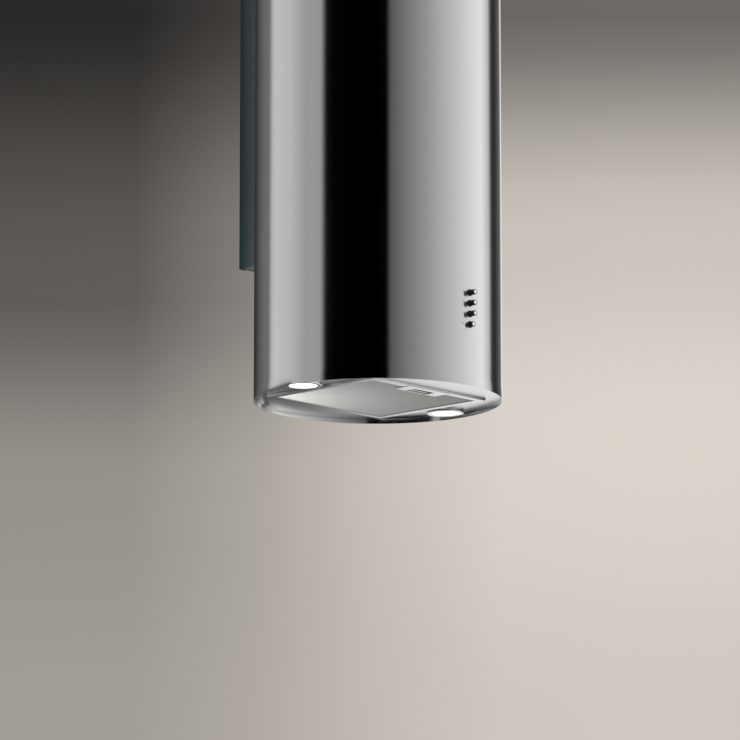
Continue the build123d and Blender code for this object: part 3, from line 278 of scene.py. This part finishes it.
def tube_wall(name):
    """Outside and inside skins with the holes, joined by the rims and by the hole walls."""
    points, faces = [], []

    def add(grid, rows, columns, wrap_columns=False, inward=False):
        quads = grid_faces(rows, columns, wrap_columns=wrap_columns)
        if inward:
            quads = quads[:, ::-1]
        faces.append(quads + sum(len(p) for p in points))
        points.append(grid.reshape(-1, 3))

    around = 2 * pi * RADIUS
    column = np.concatenate([[HALF_PATCH], np.linspace(HALF_PATCH, around - HALF_PATCH, COLUMNS_AROUND)[1:]])
    strip = np.linspace(-HALF_PATCH, HALF_PATCH, COLUMNS_IN_STRIP)
    low = button_heights[0] - HALF_PATCH
    high = button_heights[-1] + HALF_PATCH
    below, above = np.linspace(RIM, low, ROWS_BELOW), np.linspace(high, TOP, ROWS_ABOVE)
    levels = np.concatenate([below, np.linspace(low, high, ROWS_BESIDE)[1:], above[1:]])
    edge = EDGE_ROUND
    for radius, inward in ((RADIUS, False), (RADIUS - SHELL, True)):
        def clip(h):
            return np.clip(h, RIM + edge, TOP - edge)
        add(on_tube(column[None, :], clip(levels)[:, None], radius), len(levels), len(column), inward=inward)
        for part in (below, above):
            add(on_tube(strip[None, :], clip(part)[:, None], radius), len(part), len(strip), inward=inward)
        for height in button_heights:
            u, v = hole_patch(height)
            add(on_tube(u, v, radius), u.shape[0], u.shape[1], wrap_columns=True, inward=inward)
    for height in button_heights:
        u, v = hole_patch(height)
        wall = np.stack([on_tube(u[0], v[0], RADIUS - SHELL), on_tube(u[0], v[0], RADIUS)])
        add(wall, 2, u.shape[1], wrap_columns=True)
    ring = np.concatenate([strip, column[1:-1]])
    corner = edge * 0.3
    section = np.array([
        (0, edge), (corner, corner), (edge, 0),
        (SHELL - edge, 0), (SHELL - corner, corner), (SHELL, edge),
    ])
    for side in (1, -1):
        base = RIM if side > 0 else TOP
        loop = np.stack([on_tube(ring, base + side * z, RADIUS - d) for d, z in section])
        add(loop, len(section), len(ring), wrap_columns=True, inward=side > 0)
    return make_piece(name, np.concatenate(points), np.concatenate(faces))


tube = dress(seal(tube_wall("tube_shell")), tube_steel)
stand_for(tube, "outer_cylinder")
print("tube:", len(tube.data.polygons), "faces")


# %% [markdown]
# ## Finishes for the other pieces
#
# Most pieces share a few makers' finishes. Satin steel is dull and even. Chrome is almost a mirror. Moulded
# plastic has a fine grain. One function serves these and their like: a slow pattern varies the colour and
# the gloss, and a fine one gives the relief. Three finishes need a pattern of their own: galvanised sheet
# shows the crystals of its zinc, stacked sheet and wound wire show bands, and powder coat has an orange-
# peel surface. The spine's coat is also lighter on the side of the bright tube, which stands in for the
# light that the tube throws.

# %% A general finish
def finish(name, light, dark, metallic, rough, patch=12, grain=900, relief=0.15, depth=0.00003, coat=0.0):
    """Colour between light and dark and roughness between two values by slow noise, bump by fine noise."""
    material, tree, shader = new_material(name)
    shader.inputs["Metallic"].default_value = metallic
    shader.inputs["Coat Weight"].default_value = coat
    slow = object_pattern(tree, "ShaderNodeTexNoise", stretch=(patch,) * 3, Scale=1.0, Detail=3.0)
    fine = object_pattern(tree, "ShaderNodeTexNoise", stretch=(grain,) * 3, Scale=1.0, Detail=2.0)
    tree.links.new(ramp(tree, slow.outputs["Fac"], [(0.35, dark), (0.65, light)]), shader.inputs["Base Color"])
    tree.links.new(span(tree, slow.outputs["Fac"], *rough), shader.inputs["Roughness"])
    bump(tree, shader, fine.outputs["Fac"], relief, depth)
    return material


def spangled_zinc(name):
    """Galvanised sheet: crystals about 8 mm across, each with its own grey and its own gloss."""
    material, tree, shader = new_material(name)
    shader.inputs["Metallic"].default_value = 1.0
    crystal = object_pattern(tree, "ShaderNodeTexVoronoi", stretch=(120,) * 3, Scale=1.0)
    tree.links.new(
        ramp(tree, crystal.outputs["Color"], [(0.0, (0.40, 0.42, 0.43)), (1.0, (0.60, 0.62, 0.63))]),
        shader.inputs["Base Color"],
    )
    tree.links.new(span(tree, crystal.outputs["Color"], 0.30, 0.52), shader.inputs["Roughness"])
    bump(tree, shader, crystal.outputs["Distance"], 0.08, 0.0002)
    return material


def striped(name, light, dark, metallic, roughness, stretch, relief, depth):
    """Fine parallel bands, for stacked sheet and for wound wire."""
    material, tree, shader = new_material(name)
    shader.inputs["Metallic"].default_value = metallic
    shader.inputs["Roughness"].default_value = roughness
    band = object_pattern(tree, "ShaderNodeTexWave", stretch=stretch, Scale=1.0, Distortion=0.4, Detail=1.0)
    tree.links.new(ramp(tree, band.outputs["Fac"], [(0.2, dark), (0.8, light)]), shader.inputs["Base Color"])
    bump(tree, shader, band.outputs["Fac"], relief, depth)
    return material


PAINTED_LIGHT_SPAN = 0.060


def powder_coat(name):
    """Dark teal paint with orange peel, with painted light that makes it lighter beside the bright tube and
    painted shade that makes it darker beside the wall.
    """
    material, tree, shader = new_material(name)
    shader.inputs["Specular IOR Level"].default_value = 0.08
    shader.inputs["Roughness"].default_value = 0.34
    # Painted light and shade: along this gradient the base colour is lighter beside the tube and darker beside
    # the wall.
    depth = object_pattern(tree, "ShaderNodeTexGradient", stretch=(1 / PAINTED_LIGHT_SPAN,) * 3,
                           centre=(0, -PAINTED_LIGHT_SPAN, 0), turn=(0, 0, radians(90)))
    painted_light_stops = [(0.25, (0.070, 0.083, 0.086)), (1.0, (0.006, 0.021, 0.022))]
    tree.links.new(ramp(tree, depth.outputs["Fac"], painted_light_stops), shader.inputs["Base Color"])
    peel = object_pattern(tree, "ShaderNodeTexNoise", stretch=(1400,) * 3, Scale=1.0, Detail=2.0)
    bump(tree, shader, peel.outputs["Fac"], 0.2, 0.00003)
    return material


chrome = finish("polished chrome", (0.82, 0.82, 0.83), (0.76, 0.76, 0.77), 1.0, (0.04, 0.09), relief=0.02)
black = finish("black moulded plastic", (0.014, 0.014, 0.015), (0.009, 0.009, 0.010), 0.0, (0.32, 0.45))
looks = {
    "panel_steel": finish("satin panel steel", (0.70, 0.70, 0.70), (0.68, 0.68, 0.68), 1.0, (0.24, 0.28),
                          patch=6, grain=500, relief=0.01, depth=0.00001),
    "bezel_chrome": chrome,
    "button_chrome": chrome,
    "reflector": finish("polished reflector", (0.86, 0.86, 0.86), (0.80, 0.80, 0.80), 1.0, (0.06, 0.12),
                        grain=300),
    "black_plastic": black,
    "galvanised": spangled_zinc("galvanised sheet"),
    "spine_paint": powder_coat("spine powder coat"),
    "bracket_zinc": finish("zinc plate", (0.62, 0.61, 0.56), (0.50, 0.52, 0.55), 1.0, (0.25, 0.42), patch=60),
    "scroll_plastic": finish("scroll plastic", (0.13, 0.135, 0.14), (0.10, 0.105, 0.11), 0.0, (0.40, 0.55)),
    "wheel_plastic": finish("wheel plastic", (0.035, 0.036, 0.038), (0.025, 0.026, 0.028), 0.0, (0.38, 0.50)),
    "machined_steel": brushed_steel("turned steel", (0.60, 0.60, 0.60), 0.22, 0.0, None, (900, 8, 8)),
    "lamination": striped("stacked laminations", (0.24, 0.24, 0.25), (0.10, 0.10, 0.11), 1.0, 0.42,
                          stretch=(300, 1, 1), relief=0.4, depth=0.0002),
    "winding": striped("copper winding", (0.72, 0.33, 0.12), (0.36, 0.13, 0.04), 1.0, 0.30,
                       stretch=(60, 400, 60), relief=0.6, depth=0.0004),
    "grey_plastic": finish("grey moulded plastic", (0.42, 0.43, 0.44), (0.36, 0.37, 0.38), 0.0, (0.42, 0.55)),
    "ceramic_white": finish("glazed ceramic", (0.80, 0.79, 0.74), (0.74, 0.73, 0.68), 0.0, (0.18, 0.30),
                            coat=0.4),
    "board": striped("circuit board", (0.03, 0.20, 0.09), (0.02, 0.13, 0.06), 0.0, 0.35,
                     stretch=(250, 250, 40), relief=0.2, depth=0.0001),
    "filter_aluminium": finish("filter aluminium", (0.24, 0.24, 0.235), (0.20, 0.20, 0.195), 0.25,
                               (0.40, 0.52), patch=160),
}
for node, piece in nodes.items():
    if slot_of[node] in looks:
        dress(piece, looks[slot_of[node]])
print("finishes:", len(looks), "slots")

# %% [markdown]
# ## Soft edges on folded sheet
#
# A real edge is never perfectly sharp, and the line of light along it is what makes sheet metal look like
# metal. The pieces that are seen up close are copied from the frame, their doubled points are merged, and a
# small bevel rounds every sharp edge. The copy keeps the frame's size, and only its edges differ.

# %% Copies with bevelled edges
def softened(node, width, segments=2):
    """Copy of a CAD node, merged and bevelled along its sharp edges."""
    source = nodes[node]
    mesh = source.data.copy()
    piece = bpy.data.objects.new(node + "_soft", mesh)
    bpy.context.scene.collection.objects.link(piece)
    work = bmesh.new()
    work.from_mesh(mesh)
    bmesh.ops.remove_doubles(work, verts=work.verts, dist=2e-6)
    bmesh.ops.dissolve_limit(work, angle_limit=radians(1.0), verts=work.verts, edges=work.edges)
    work.to_mesh(mesh)
    work.free()
    mesh.polygons.foreach_set("use_smooth", np.full(len(mesh.polygons), True))
    mesh.set_sharp_from_angle(angle=radians(30))
    edge = piece.modifiers.new("edge", "BEVEL")
    edge.width = width
    edge.segments = segments
    edge.limit_method = "ANGLE"
    edge.angle_limit = radians(40)
    edge.harden_normals = True
    dress(piece, looks[slot_of[node]])
    return stand_for(piece, node)


EDGE_WIDTHS = {"filter_frame": 0.0003, "grip_plate": 0.0002, "spine": 0.0005, "filter_latch": 0.0004}
for node, width in EDGE_WIDTHS.items():
    softened(node, width)
print("softened:", len(EDGE_WIDTHS), "folded pieces")

# %% [markdown]
# ## Turned pieces
#
# The buttons, the lamp rings and the lenses are turned shapes. Each is a profile of (radius, height)
# points, with round stretches made by an arc, carried round its axis.

# %% Profiles and the lathe
def arc(centre, radius, start, end, steps=6):
    """Points of a circular arc, angles in degrees."""
    turn = np.radians(np.linspace(start, end, steps))
    return np.stack([centre[0] + radius * np.cos(turn), centre[1] + radius * np.sin(turn)], -1)


def profile(*pieces):
    """Joins points and arcs into one list of (radius, height)."""
    return np.concatenate([np.atleast_2d(piece) for piece in pieces])


def lathe(name, outline, centre, axis="Z", sides=72, closed=True):
    """Carries an outline round an axis: x = r cos t, y = r sin t, height along the axis."""
    turn = np.arange(sides) * 2 * pi / sides
    radius, height = outline[:, :1], outline[:, 1:]
    side_a, side_b = radius * np.cos(turn), radius * np.sin(turn)
    rise = np.broadcast_to(height, side_a.shape)
    if axis == "Z":
        grid = np.stack([side_a, side_b, rise], -1)
    else:
        grid = np.stack([side_a, rise, side_b], -1)
    quads = grid_faces(len(outline), sides, wrap_rows=closed, wrap_columns=True)
    return make_piece(name, grid.reshape(-1, 3) + np.array(centre), quads)


# %% [markdown]
# ## Push buttons
#
# Each button is a chrome cap with a slightly domed face and a rolled edge, on a stem that slides in a black
# collar. Its flange keeps it from coming out. The face of the cap is polished, and a painted highlight
# lightens its middle. Its side is painted black as a painted dark reflection, so that the four caps stand out
# from the steel.

# %% Four chrome buttons
CAP_RADIUS = 0.0048


def cap_chrome_with_painted_light(name, centre):
    """Chrome on the cap's face with a painted highlight in its middle, and black on its side as a painted dark
    reflection, parted by the distance from the cap's axis.
    """
    material, tree, shader = new_material(name)
    squeeze = (1 / CAP_RADIUS, 0.001, 1 / CAP_RADIUS)
    reach = object_pattern(tree, "ShaderNodeTexGradient", squeeze, centre, gradient_type="SPHERICAL")
    # Painted light: the black, non-metal band on the side is a painted dark reflection, and the bright middle
    # of the face is a painted highlight.
    painted_light_stops = [
        (0.10, (0.012, 0.012, 0.013)), (0.14, (0.30, 0.30, 0.31)),
        (0.42, (0.34, 0.34, 0.35)), (0.52, (0.86, 0.86, 0.87)),
    ]
    tree.links.new(ramp(tree, reach.outputs["Fac"], painted_light_stops), shader.inputs["Base Color"])
    tree.links.new(ramp(tree, reach.outputs["Fac"], [(0.10, 0.0), (0.14, 1.0)]), shader.inputs["Metallic"])
    haze = object_pattern(tree, "ShaderNodeTexNoise", stretch=(900,) * 3, Scale=1.0)
    tree.links.new(span(tree, haze.outputs["Fac"], 0.10, 0.16), shader.inputs["Roughness"])
    return material


def button(node):
    """Cap, flange and stem of one button, turned about the line through its box's middle."""
    low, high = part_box(node)
    back, face = high.y, low.y
    flange, stem, flange_back = 0.0064, 0.0024, back - 0.018
    waist = CAP_RADIUS - 0.0002
    outline = profile(
        (1e-6, face + 0.00025), (0.0018, face + 0.00018), (0.0030, face + 0.00004),
        arc((CAP_RADIUS - 0.0009, face + 0.0009), 0.0009, -90, 0, 6),
        (CAP_RADIUS, face + 0.0022), (waist, face + 0.0024), (waist, face + 0.0028),
        (CAP_RADIUS, face + 0.0030), (CAP_RADIUS, flange_back - 0.002), (flange, flange_back - 0.002),
        (flange, flange_back), (stem, flange_back), (stem, back), (1e-6, back),
    )
    centre = (0, 0, (low.z + high.z) / 2)
    piece = lathe(node + "_turned", outline, centre, axis="Y", sides=48, closed=False)
    return stand_for(dress(seal(piece, 50), cap_chrome_with_painted_light(node + " chrome", centre)), node)


for node in ("light_button", "speed_button_1", "speed_button_2", "speed_button_3"):
    button(node)
print("buttons: 4")

# %% [markdown]
# ## Lamps
#
# A lamp is a turned chrome ring that holds a pressed glass lens. The glass is dimpled to spread the light,
# so its middle glows evenly and its edge is a little darker. The dimples are a pattern of small cells in
# the bump. The lamp's brightness is painted on as emission, which falls off from its middle.

# %% Lamp glass, lit
def lit_glass(name, centre, radius):
    """Glass that glows most at its middle: brightness falls with distance from the lens's centre."""
    material, tree, shader = new_material(name)
    shader.inputs["Base Color"].default_value = (0.92, 0.93, 0.93, 1)
    shader.inputs["Roughness"].default_value = 0.12
    shader.inputs["Coat Weight"].default_value = 0.6
    glow = object_pattern(tree, "ShaderNodeTexGradient", stretch=(1 / radius,) * 3, centre=centre,
                          gradient_type="SPHERICAL")
    dimples = object_pattern(tree, "ShaderNodeTexVoronoi", stretch=(260,) * 3, Scale=1.0)
    warm = ramp(tree, glow.outputs["Fac"], [
        (0.0, (0.55, 0.53, 0.50)), (0.22, (0.92, 0.90, 0.86)), (0.5, (1, 0.985, 0.95)),
    ])
    tree.links.new(warm, shader.inputs["Emission Color"])
    shader.inputs["Emission Strength"].default_value = 1.15
    bump(tree, shader, dimples.outputs["Distance"], 0.35, 0.0006)
    return material


def lamp(label):
    """Ring and lens of one lamp."""
    ring, lens = "lamp_bezel_" + label, "lamp_lens_" + label
    low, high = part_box(ring)
    centre_x, centre_y = (low.x + high.x) / 2, (low.y + high.y) / 2
    outer = (high.x - low.x) / 2
    lens_low, lens_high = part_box(lens)
    glass = (lens_high.x - lens_low.x) / 2
    lip, seat = glass - 0.0011, lens_low.z - 0.0001
    panel_face = panel_low.z
    outline = profile(
        (lip, seat), arc((lip + 0.0006, low.z + 0.0006), 0.0006, 180, 270, 4),
        (outer - 0.0040, low.z), arc((outer - 0.0022, low.z + 0.0022), 0.0022, -90, 0, 7),
        (outer, panel_face - 0.00005), (glass + 0.0013, panel_face - 0.00005), (glass + 0.0013, high.z),
        (glass + 0.0002, high.z), (glass + 0.0002, seat),
    )
    piece = lathe(ring + "_turned", outline, (centre_x, centre_y, 0), sides=96)
    stand_for(dress(seal(piece, 40), chrome), ring)
    edge, middle = 0.0005, (lens_low.z + lens_high.z) / 2
    face = profile(
        (1e-6, lens_low.z), (glass * 0.35, lens_low.z), (glass * 0.7, lens_low.z),
        arc((glass - edge, lens_low.z + edge), edge, -90, 0, 4),
        arc((glass - edge, lens_high.z - edge), edge, 0, 90, 4),
        (glass * 0.5, lens_high.z), (1e-6, lens_high.z),
    )
    glow = lit_glass("lit lamp glass " + label, (centre_x, centre_y, middle), glass)
    piece = lathe(lens + "_turned", face, (centre_x, centre_y, 0), sides=72, closed=False)
    stand_for(dress(seal(piece, 40), glow), lens)
    return glow


glows = [lamp(label) for label in ("left", "right")]
dress(nodes["lamp_bulbs"], glows[0])
print("lamps: 2")

# %% [markdown]
# ## Expanded-metal mesh
#
# The filter's face is expanded aluminium: a sheet is slit in staggered rows and pulled open, so that it
# becomes a net of diamonds. Every strand is a flat ribbon that zigzags, twists a little as it climbs from
# one knot to the next, and meets its neighbours at the knots. Strands are computed together, as one array
# of ribbon sections.

# %% Diamond mesh
CELL_LONG = 0.0060
CELL_SHORT = 0.0036
STRAND = 0.0012
SHEET = 0.0006


def ribbons(start_x, end_x, start_y, end_y, floor):
    """Points and faces of zigzag ribbons: y = row + wave(x), z = floor + twist(x), four corners a section."""
    half_long, half_short = CELL_LONG / 2, CELL_SHORT / 2
    columns = np.arange(np.ceil(start_x / half_long), np.floor(end_x / half_long) + 1)
    rows = np.arange(np.ceil(start_y / half_short), np.floor(end_y / half_short) + 1)
    x = np.repeat(columns * half_long, 2) + np.tile([-0.12, 0.12], len(columns)) * CELL_LONG
    sign = np.repeat(np.where(columns % 2 == 0, 1.0, -1.0), 2)
    row_sign = np.where(rows % 2 == 0, 1.0, -1.0)[:, None]
    swing = (half_short - STRAND * 0.7) / 2
    y = rows[:, None] * half_short + row_sign * sign[None, :] * swing
    tilt = row_sign * sign[None, :] * SHEET * 0.45
    half = STRAND / 2
    corners = []
    for across, up in ((-half, 0), (half, 0), (half, 1), (-half, 1)):
        z = floor + SHEET * 0.25 + up * SHEET * 0.5 + tilt * np.sign(across) * 0.5
        corners.append(np.stack(np.broadcast_arrays(x[None, :], y + across, z), -1))
    grid = np.stack(corners, 2)
    quads = grid_faces(len(x), 4, wrap_columns=True)
    caps = np.array([[0, 1, 2, 3], [4 * len(x) - 1, 4 * len(x) - 2, 4 * len(x) - 3, 4 * len(x) - 4]])
    strand = np.concatenate([quads, caps])
    offset = np.arange(len(rows))[:, None, None] * 4 * len(x)
    return grid.reshape(-1, 3), (strand[None] + offset).reshape(-1, 4)


def mesh_sheet(name, floor):
    """Mesh over the cassette, in three fields that go round the latch's pocket."""
    low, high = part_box("filter_face")
    plate_low, plate_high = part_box("grip_plate")
    fields = [
        (low.x, high.x, plate_high.y - 0.0005, high.y),
        (low.x, plate_low.x + 0.003, low.y, plate_high.y - 0.0005),
        (plate_high.x - 0.003, high.x, low.y, plate_high.y - 0.0005),
    ]
    points, faces, count = [], [], 0
    for field in fields:
        field_points, field_faces = ribbons(*field, floor)
        points.append(field_points)
        faces.append(field_faces + count)
        count += len(field_points)
    return make_piece(name, np.concatenate(points), np.concatenate(faces), smooth=False)


face_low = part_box("filter_face")[0]
lower_mesh = dress(mesh_sheet("filter_mesh", face_low.z), looks["filter_aluminium"])
stand_for(lower_mesh, "filter_face")
print("mesh:", len(lower_mesh.data.polygons), "faces")

# %% [markdown]
# ## Button symbols
#
# Small grey marks stand beside the buttons: the fan's speeds, as generic numerals, and a lamp. They are
# printed on the tube, so each stroke is a thin ribbon laid on its surface, a few hundredths of a millimetre
# proud.

# %% Marks on the tube
MARK_LEFT = 0.0168
MARK_HEIGHT = 0.0036
STROKE = 0.00055


def stroke(points, height):
    """Ribbon of constant width along a flat path, wrapped onto the tube."""
    path = np.asarray(points, float)
    run = np.gradient(path, axis=0)
    side = np.stack([-run[:, 1], run[:, 0]], -1) / np.hypot(*run.T)[:, None] * STROKE / 2
    rows = np.stack([path - side, path + side], 1)
    grid = on_tube(rows[..., 0] - MARK_LEFT, height + rows[..., 1], RADIUS + 0.00006)
    return grid.reshape(-1, 3), grid_faces(len(path), 2)


def marks():
    """Numerals 3, 2 and 1 from the top, and a lamp for the light."""
    h, w = MARK_HEIGHT / 2, MARK_HEIGHT * 0.3
    one = [np.array([(0, -h), (0, 0), (0, h)])]
    two = [profile(arc((0, h - w), w, 160, -30, 10), (-w, -h)), np.array([(-w, -h), (0, -h), (w, -h)])]
    three = [arc((0, h / 2), h / 2, 150, -90, 10), arc((0, -h / 2), h / 2, 90, -150, 10)]
    foot, foot_half = -h * 0.75, w * 0.6
    lamp_mark = [
        arc((0, h * 0.25), h * 0.7, -50, 230, 14),
        np.array([(-foot_half, foot), (0, foot), (foot_half, foot)]),
    ]
    points, faces, count = [], [], 0
    for height, symbol in zip(button_heights, (lamp_mark, one, two, three)):
        for path in symbol:
            stroke_points, stroke_faces = stroke(path, height)
            points.append(stroke_points)
            faces.append(stroke_faces + count)
            count += len(stroke_points)
    return make_piece("button_marks", np.concatenate(points), np.concatenate(faces))


ink = finish("printed grey", (0.045, 0.045, 0.045), (0.035, 0.035, 0.035), 0.0, (0.45, 0.6))
symbols = dress(marks(), ink)
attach(symbols, "hood")
print("marks: numerals and a lamp")


# %% [markdown]
# ## Studio
#
# The tube is a mirror, so the studio is what gives it its look. It stands among soft panels: a wide black
# flag next to the camera, a large white panel at the right that fades towards the flag, a grey one at the
# left, and dark gaps at both sides. Each panel is a few greys at compass angles, counted in degrees from
# the direction of the camera, with plus to its right. The surroundings are a function of direction alone,
# read by one ramp. What the camera sees behind the hood is a plain backdrop of warm grey, paler below and
# towards the right.

# %% World
CAMERA_AZIMUTH = -46.9


def display(value):
    """Radiance that shows as an 8-bit grey."""
    return (value / 255) ** 2.2


TAUPE = (1.03, 0.995, 0.955)
BACKDROP_LEFT = [(0.560, 156), (0.583, 146), (0.603, 92), (0.630, 44), (0.680, 150)]
BACKDROP_RIGHT = [(0.560, 200), (0.590, 212), (0.608, 196), (0.630, 104), (0.680, 190)]
BACKDROP_CROSSING = [(0.4945, 1.0), (0.5085, 0.0)]
SURROUND_GAIN = 1.52
DARK_END = [(-159, 48), (-131, 102), (-122, 106)]
GREY_PANEL = [(-117, 176), (-111, 190), (-90, 180), (-72, 152), (-55, 150)]
BLACK_FLAG = [(-50, 0), (8.5, 0)]
WHITE_PANEL = [(12, 86), (40, 136), (83, 194), (112, 225), (126, 178)]
DARK_GAP = [(131, 58), (140, 42), (160, 96)]
WINDOW = [(167, 206)]
SURROUND = DARK_END + GREY_PANEL + BLACK_FLAG + WHITE_PANEL + DARK_GAP + WINDOW


def studio_world():
    """Grey of a direction: reflections read its compass angle, the camera reads its height and its side."""
    world = bpy.data.worlds.new("studio")
    bpy.context.scene.world = world
    world.use_nodes = True
    tree = world.node_tree
    background = tree.nodes["Background"]
    place = add_node(tree, "ShaderNodeTexCoord")
    split = add_node(tree, "ShaderNodeSeparateXYZ")
    tree.links.new(place.outputs["Generated"], split.inputs["Vector"])

    def maths(operation, a, b=None):
        node = add_node(tree, "ShaderNodeMath", operation=operation)
        for socket, value in zip(node.inputs, (a, b)):
            if value is None:
                continue
            if isinstance(value, (int, float)):
                socket.default_value = value
            else:
                tree.links.new(value, socket)
        return node.outputs[0]

    flipped = maths("MULTIPLY", split.outputs["Y"], -1.0)
    compass = maths("ARCTAN2", split.outputs["X"], flipped)
    turned = maths("SUBTRACT", compass, radians(CAMERA_AZIMUTH) - pi)
    share = maths("FRACT", maths("DIVIDE", turned, 2 * pi))
    around = ramp(tree, share, [((angle + 180) / 360, display(grey)) for angle, grey in SURROUND])
    height = maths("ADD", maths("MULTIPLY", split.outputs["Z"], 0.5), 0.5)
    left, right = (
        ramp(tree, height, [(at, tuple(display(grey * t) for t in TAUPE)) for at, grey in column], "EASE")
        for column in (BACKDROP_LEFT, BACKDROP_RIGHT)
    )
    opposite = maths("FRACT", maths("ADD", share, 0.5))
    crossing = add_node(tree, "ShaderNodeMix", data_type="RGBA")
    tree.links.new(ramp(tree, opposite, BACKDROP_CROSSING, "EASE"), crossing.inputs["Factor"])
    tree.links.new(left, crossing.inputs["A"])
    tree.links.new(right, crossing.inputs["B"])
    backdrop = crossing.outputs["Result"]
    path = add_node(tree, "ShaderNodeLightPath")
    choose = add_node(tree, "ShaderNodeMix", data_type="RGBA")
    tree.links.new(path.outputs["Is Camera Ray"], choose.inputs["Factor"])
    brighter = add_node(tree, "ShaderNodeVectorMath", operation="SCALE")
    brighter.inputs["Scale"].default_value = SURROUND_GAIN
    tree.links.new(around, brighter.inputs[0])
    tree.links.new(brighter.outputs["Vector"], choose.inputs["A"])
    tree.links.new(backdrop, choose.inputs["B"])
    tree.links.new(choose.outputs["Result"], background.inputs["Color"])
    return world


studio_world()
print("studio: %d greys round the compass" % len(SURROUND))

# %% [markdown]
# The steel underside mirrors what is low behind the hood. A tall card stands there, dark at its left end
# and bright at its right, as a wall does beside a window. It is seen in reflections alone. The floor is a
# pale disc far below, which lets a camera under it look through. One large soft light hangs over
# everything, and a small one low at the back left rakes the filter's mesh. Neither is seen in the mirror of
# the steel.

# %% Card, floor and lights
CARD_TONES = [(0.00, 70), (0.28, 84), (0.38, 118), (0.46, 176), (0.54, 240), (0.72, 262), (1.00, 250)]


def emitter(name, stops, start, length):
    """Emission that follows a ramp along X: its position is the distance from start, over length."""
    material = bpy.data.materials.new(name)
    material.use_nodes = True
    tree = material.node_tree
    tree.nodes.clear()
    out = add_node(tree, "ShaderNodeOutputMaterial")
    light = add_node(tree, "ShaderNodeEmission")
    slope = object_pattern(tree, "ShaderNodeTexGradient", (1 / length,) * 3, (start, 0, 0))
    tones = [(at, display(grey)) for at, grey in stops]
    tree.links.new(ramp(tree, slope.outputs["Fac"], tones), light.inputs["Color"])
    tree.links.new(light.outputs["Emission"], out.inputs["Surface"])
    return material


def card():
    """Upright rectangle on the wall plane, from the rim down, seen by glossy rays alone."""
    left, right, bottom, top, depth = -0.5, 1.1, RIM - 1.2, RIM - 0.004, 0.01
    corners = [(left, depth, bottom), (right, depth, bottom), (right, depth, top), (left, depth, top)]
    piece = make_piece("reflection_card", corners, [(0, 1, 2, 3)])
    dress(piece, emitter("card tones", CARD_TONES, left, right - left))
    piece.visible_camera = piece.visible_diffuse = piece.visible_shadow = piece.visible_transmission = False
    return piece


FLOOR_DROP = 1.6
FLOOR_RADIUS = 4.5
FLOOR_SIDES = 96


def floor():
    """Pale disc under the hood, see-through from below."""
    turn = np.arange(FLOOR_SIDES) * 2 * pi / FLOOR_SIDES
    x, y = FLOOR_RADIUS * np.cos(turn), AXIS_Y + FLOOR_RADIUS * np.sin(turn)
    points = np.stack([x, y, np.full(FLOOR_SIDES, RIM - FLOOR_DROP)], -1)
    piece = make_piece("floor", points, [list(range(FLOOR_SIDES))])
    material, tree, shader = new_material("pale floor")
    speckle = object_pattern(tree, "ShaderNodeTexNoise", stretch=(3, 3, 3), Scale=1.0)
    pales = [(0.3, (0.74, 0.72, 0.69)), (0.7, (0.78, 0.76, 0.73))]
    tree.links.new(ramp(tree, speckle.outputs["Fac"], pales), shader.inputs["Base Color"])
    shader.inputs["Roughness"].default_value = 0.9
    side = add_node(tree, "ShaderNodeNewGeometry")
    clear = add_node(tree, "ShaderNodeBsdfTransparent")
    choose = add_node(tree, "ShaderNodeMixShader")
    tree.links.new(side.outputs["Backfacing"], choose.inputs["Fac"])
    tree.links.new(shader.outputs["BSDF"], choose.inputs[1])
    tree.links.new(clear.outputs["BSDF"], choose.inputs[2])
    tree.links.new(choose.outputs["Shader"], tree.nodes["Material Output"].inputs["Surface"])
    dress(piece, material)
    piece.visible_glossy = False
    return piece


def overhead_light():
    """Large soft light above and in front, left out of reflections."""
    data = bpy.data.lights.new("overhead", "AREA")
    data.shape, data.size, data.energy = "DISK", 3.0, 240
    data.color = (1.0, 0.985, 0.96)
    lamp_object = bpy.data.objects.new("overhead", data)
    lamp_object.location = (-1.2, AXIS_Y - 1.5, TOP + 2.6)
    lamp_object.rotation_euler = (radians(28), 0, radians(-38))
    lamp_object.visible_glossy = False
    bpy.context.scene.collection.objects.link(lamp_object)


def low_light():
    """Small soft light near the mesh's left corner, aimed at its middle, so that it fades across the mesh."""
    data = bpy.data.lights.new("low", "AREA")
    data.shape, data.size, data.energy = "DISK", 0.12, 4.6
    lamp_object = bpy.data.objects.new("low", data)
    lamp_object.location = (-0.178, AXIS_Y + 0.190, RIM - 0.15)
    aim = Vector((0, AXIS_Y, RIM)) - lamp_object.location
    lamp_object.rotation_euler = aim.to_track_quat("-Z", "Y").to_euler()
    lamp_object.visible_glossy = lamp_object.visible_camera = False
    bpy.context.scene.collection.objects.link(lamp_object)


card()
floor()
overhead_light()
low_light()
print("stage: card, floor and two soft lights")

# %% [markdown]
# ## Camera
#
# The camera is far away, low and to the left, with a long lens that looks up at the hood, so its upright
# edges stay parallel.

# %% Camera
CAMERA_DISTANCE = 8.6
CAMERA_DROP = 1.611
PITCH = 10.967
LENS = 246.24
SENSOR = 36.0
TURN_ASIDE = 0.0016


def place_camera():
    """Camera at a distance from the tube's axis and below its rim, looking up by the pitch."""
    data = bpy.data.cameras.new("camera")
    data.sensor_width, data.lens = SENSOR, LENS
    data.clip_end = 60
    camera = bpy.data.objects.new("camera", data)
    bpy.context.scene.collection.objects.link(camera)
    turn = radians(CAMERA_AZIMUTH)
    away_x, away_y = CAMERA_DISTANCE * np.sin(turn), -CAMERA_DISTANCE * np.cos(turn)
    camera.location = (away_x, AXIS_Y + away_y, RIM - CAMERA_DROP)
    camera.rotation_euler = (pi / 2 + radians(PITCH), 0, turn + TURN_ASIDE)
    bpy.context.scene.camera = camera


place_camera()
bpy.context.scene.view_settings.view_transform = "Standard"
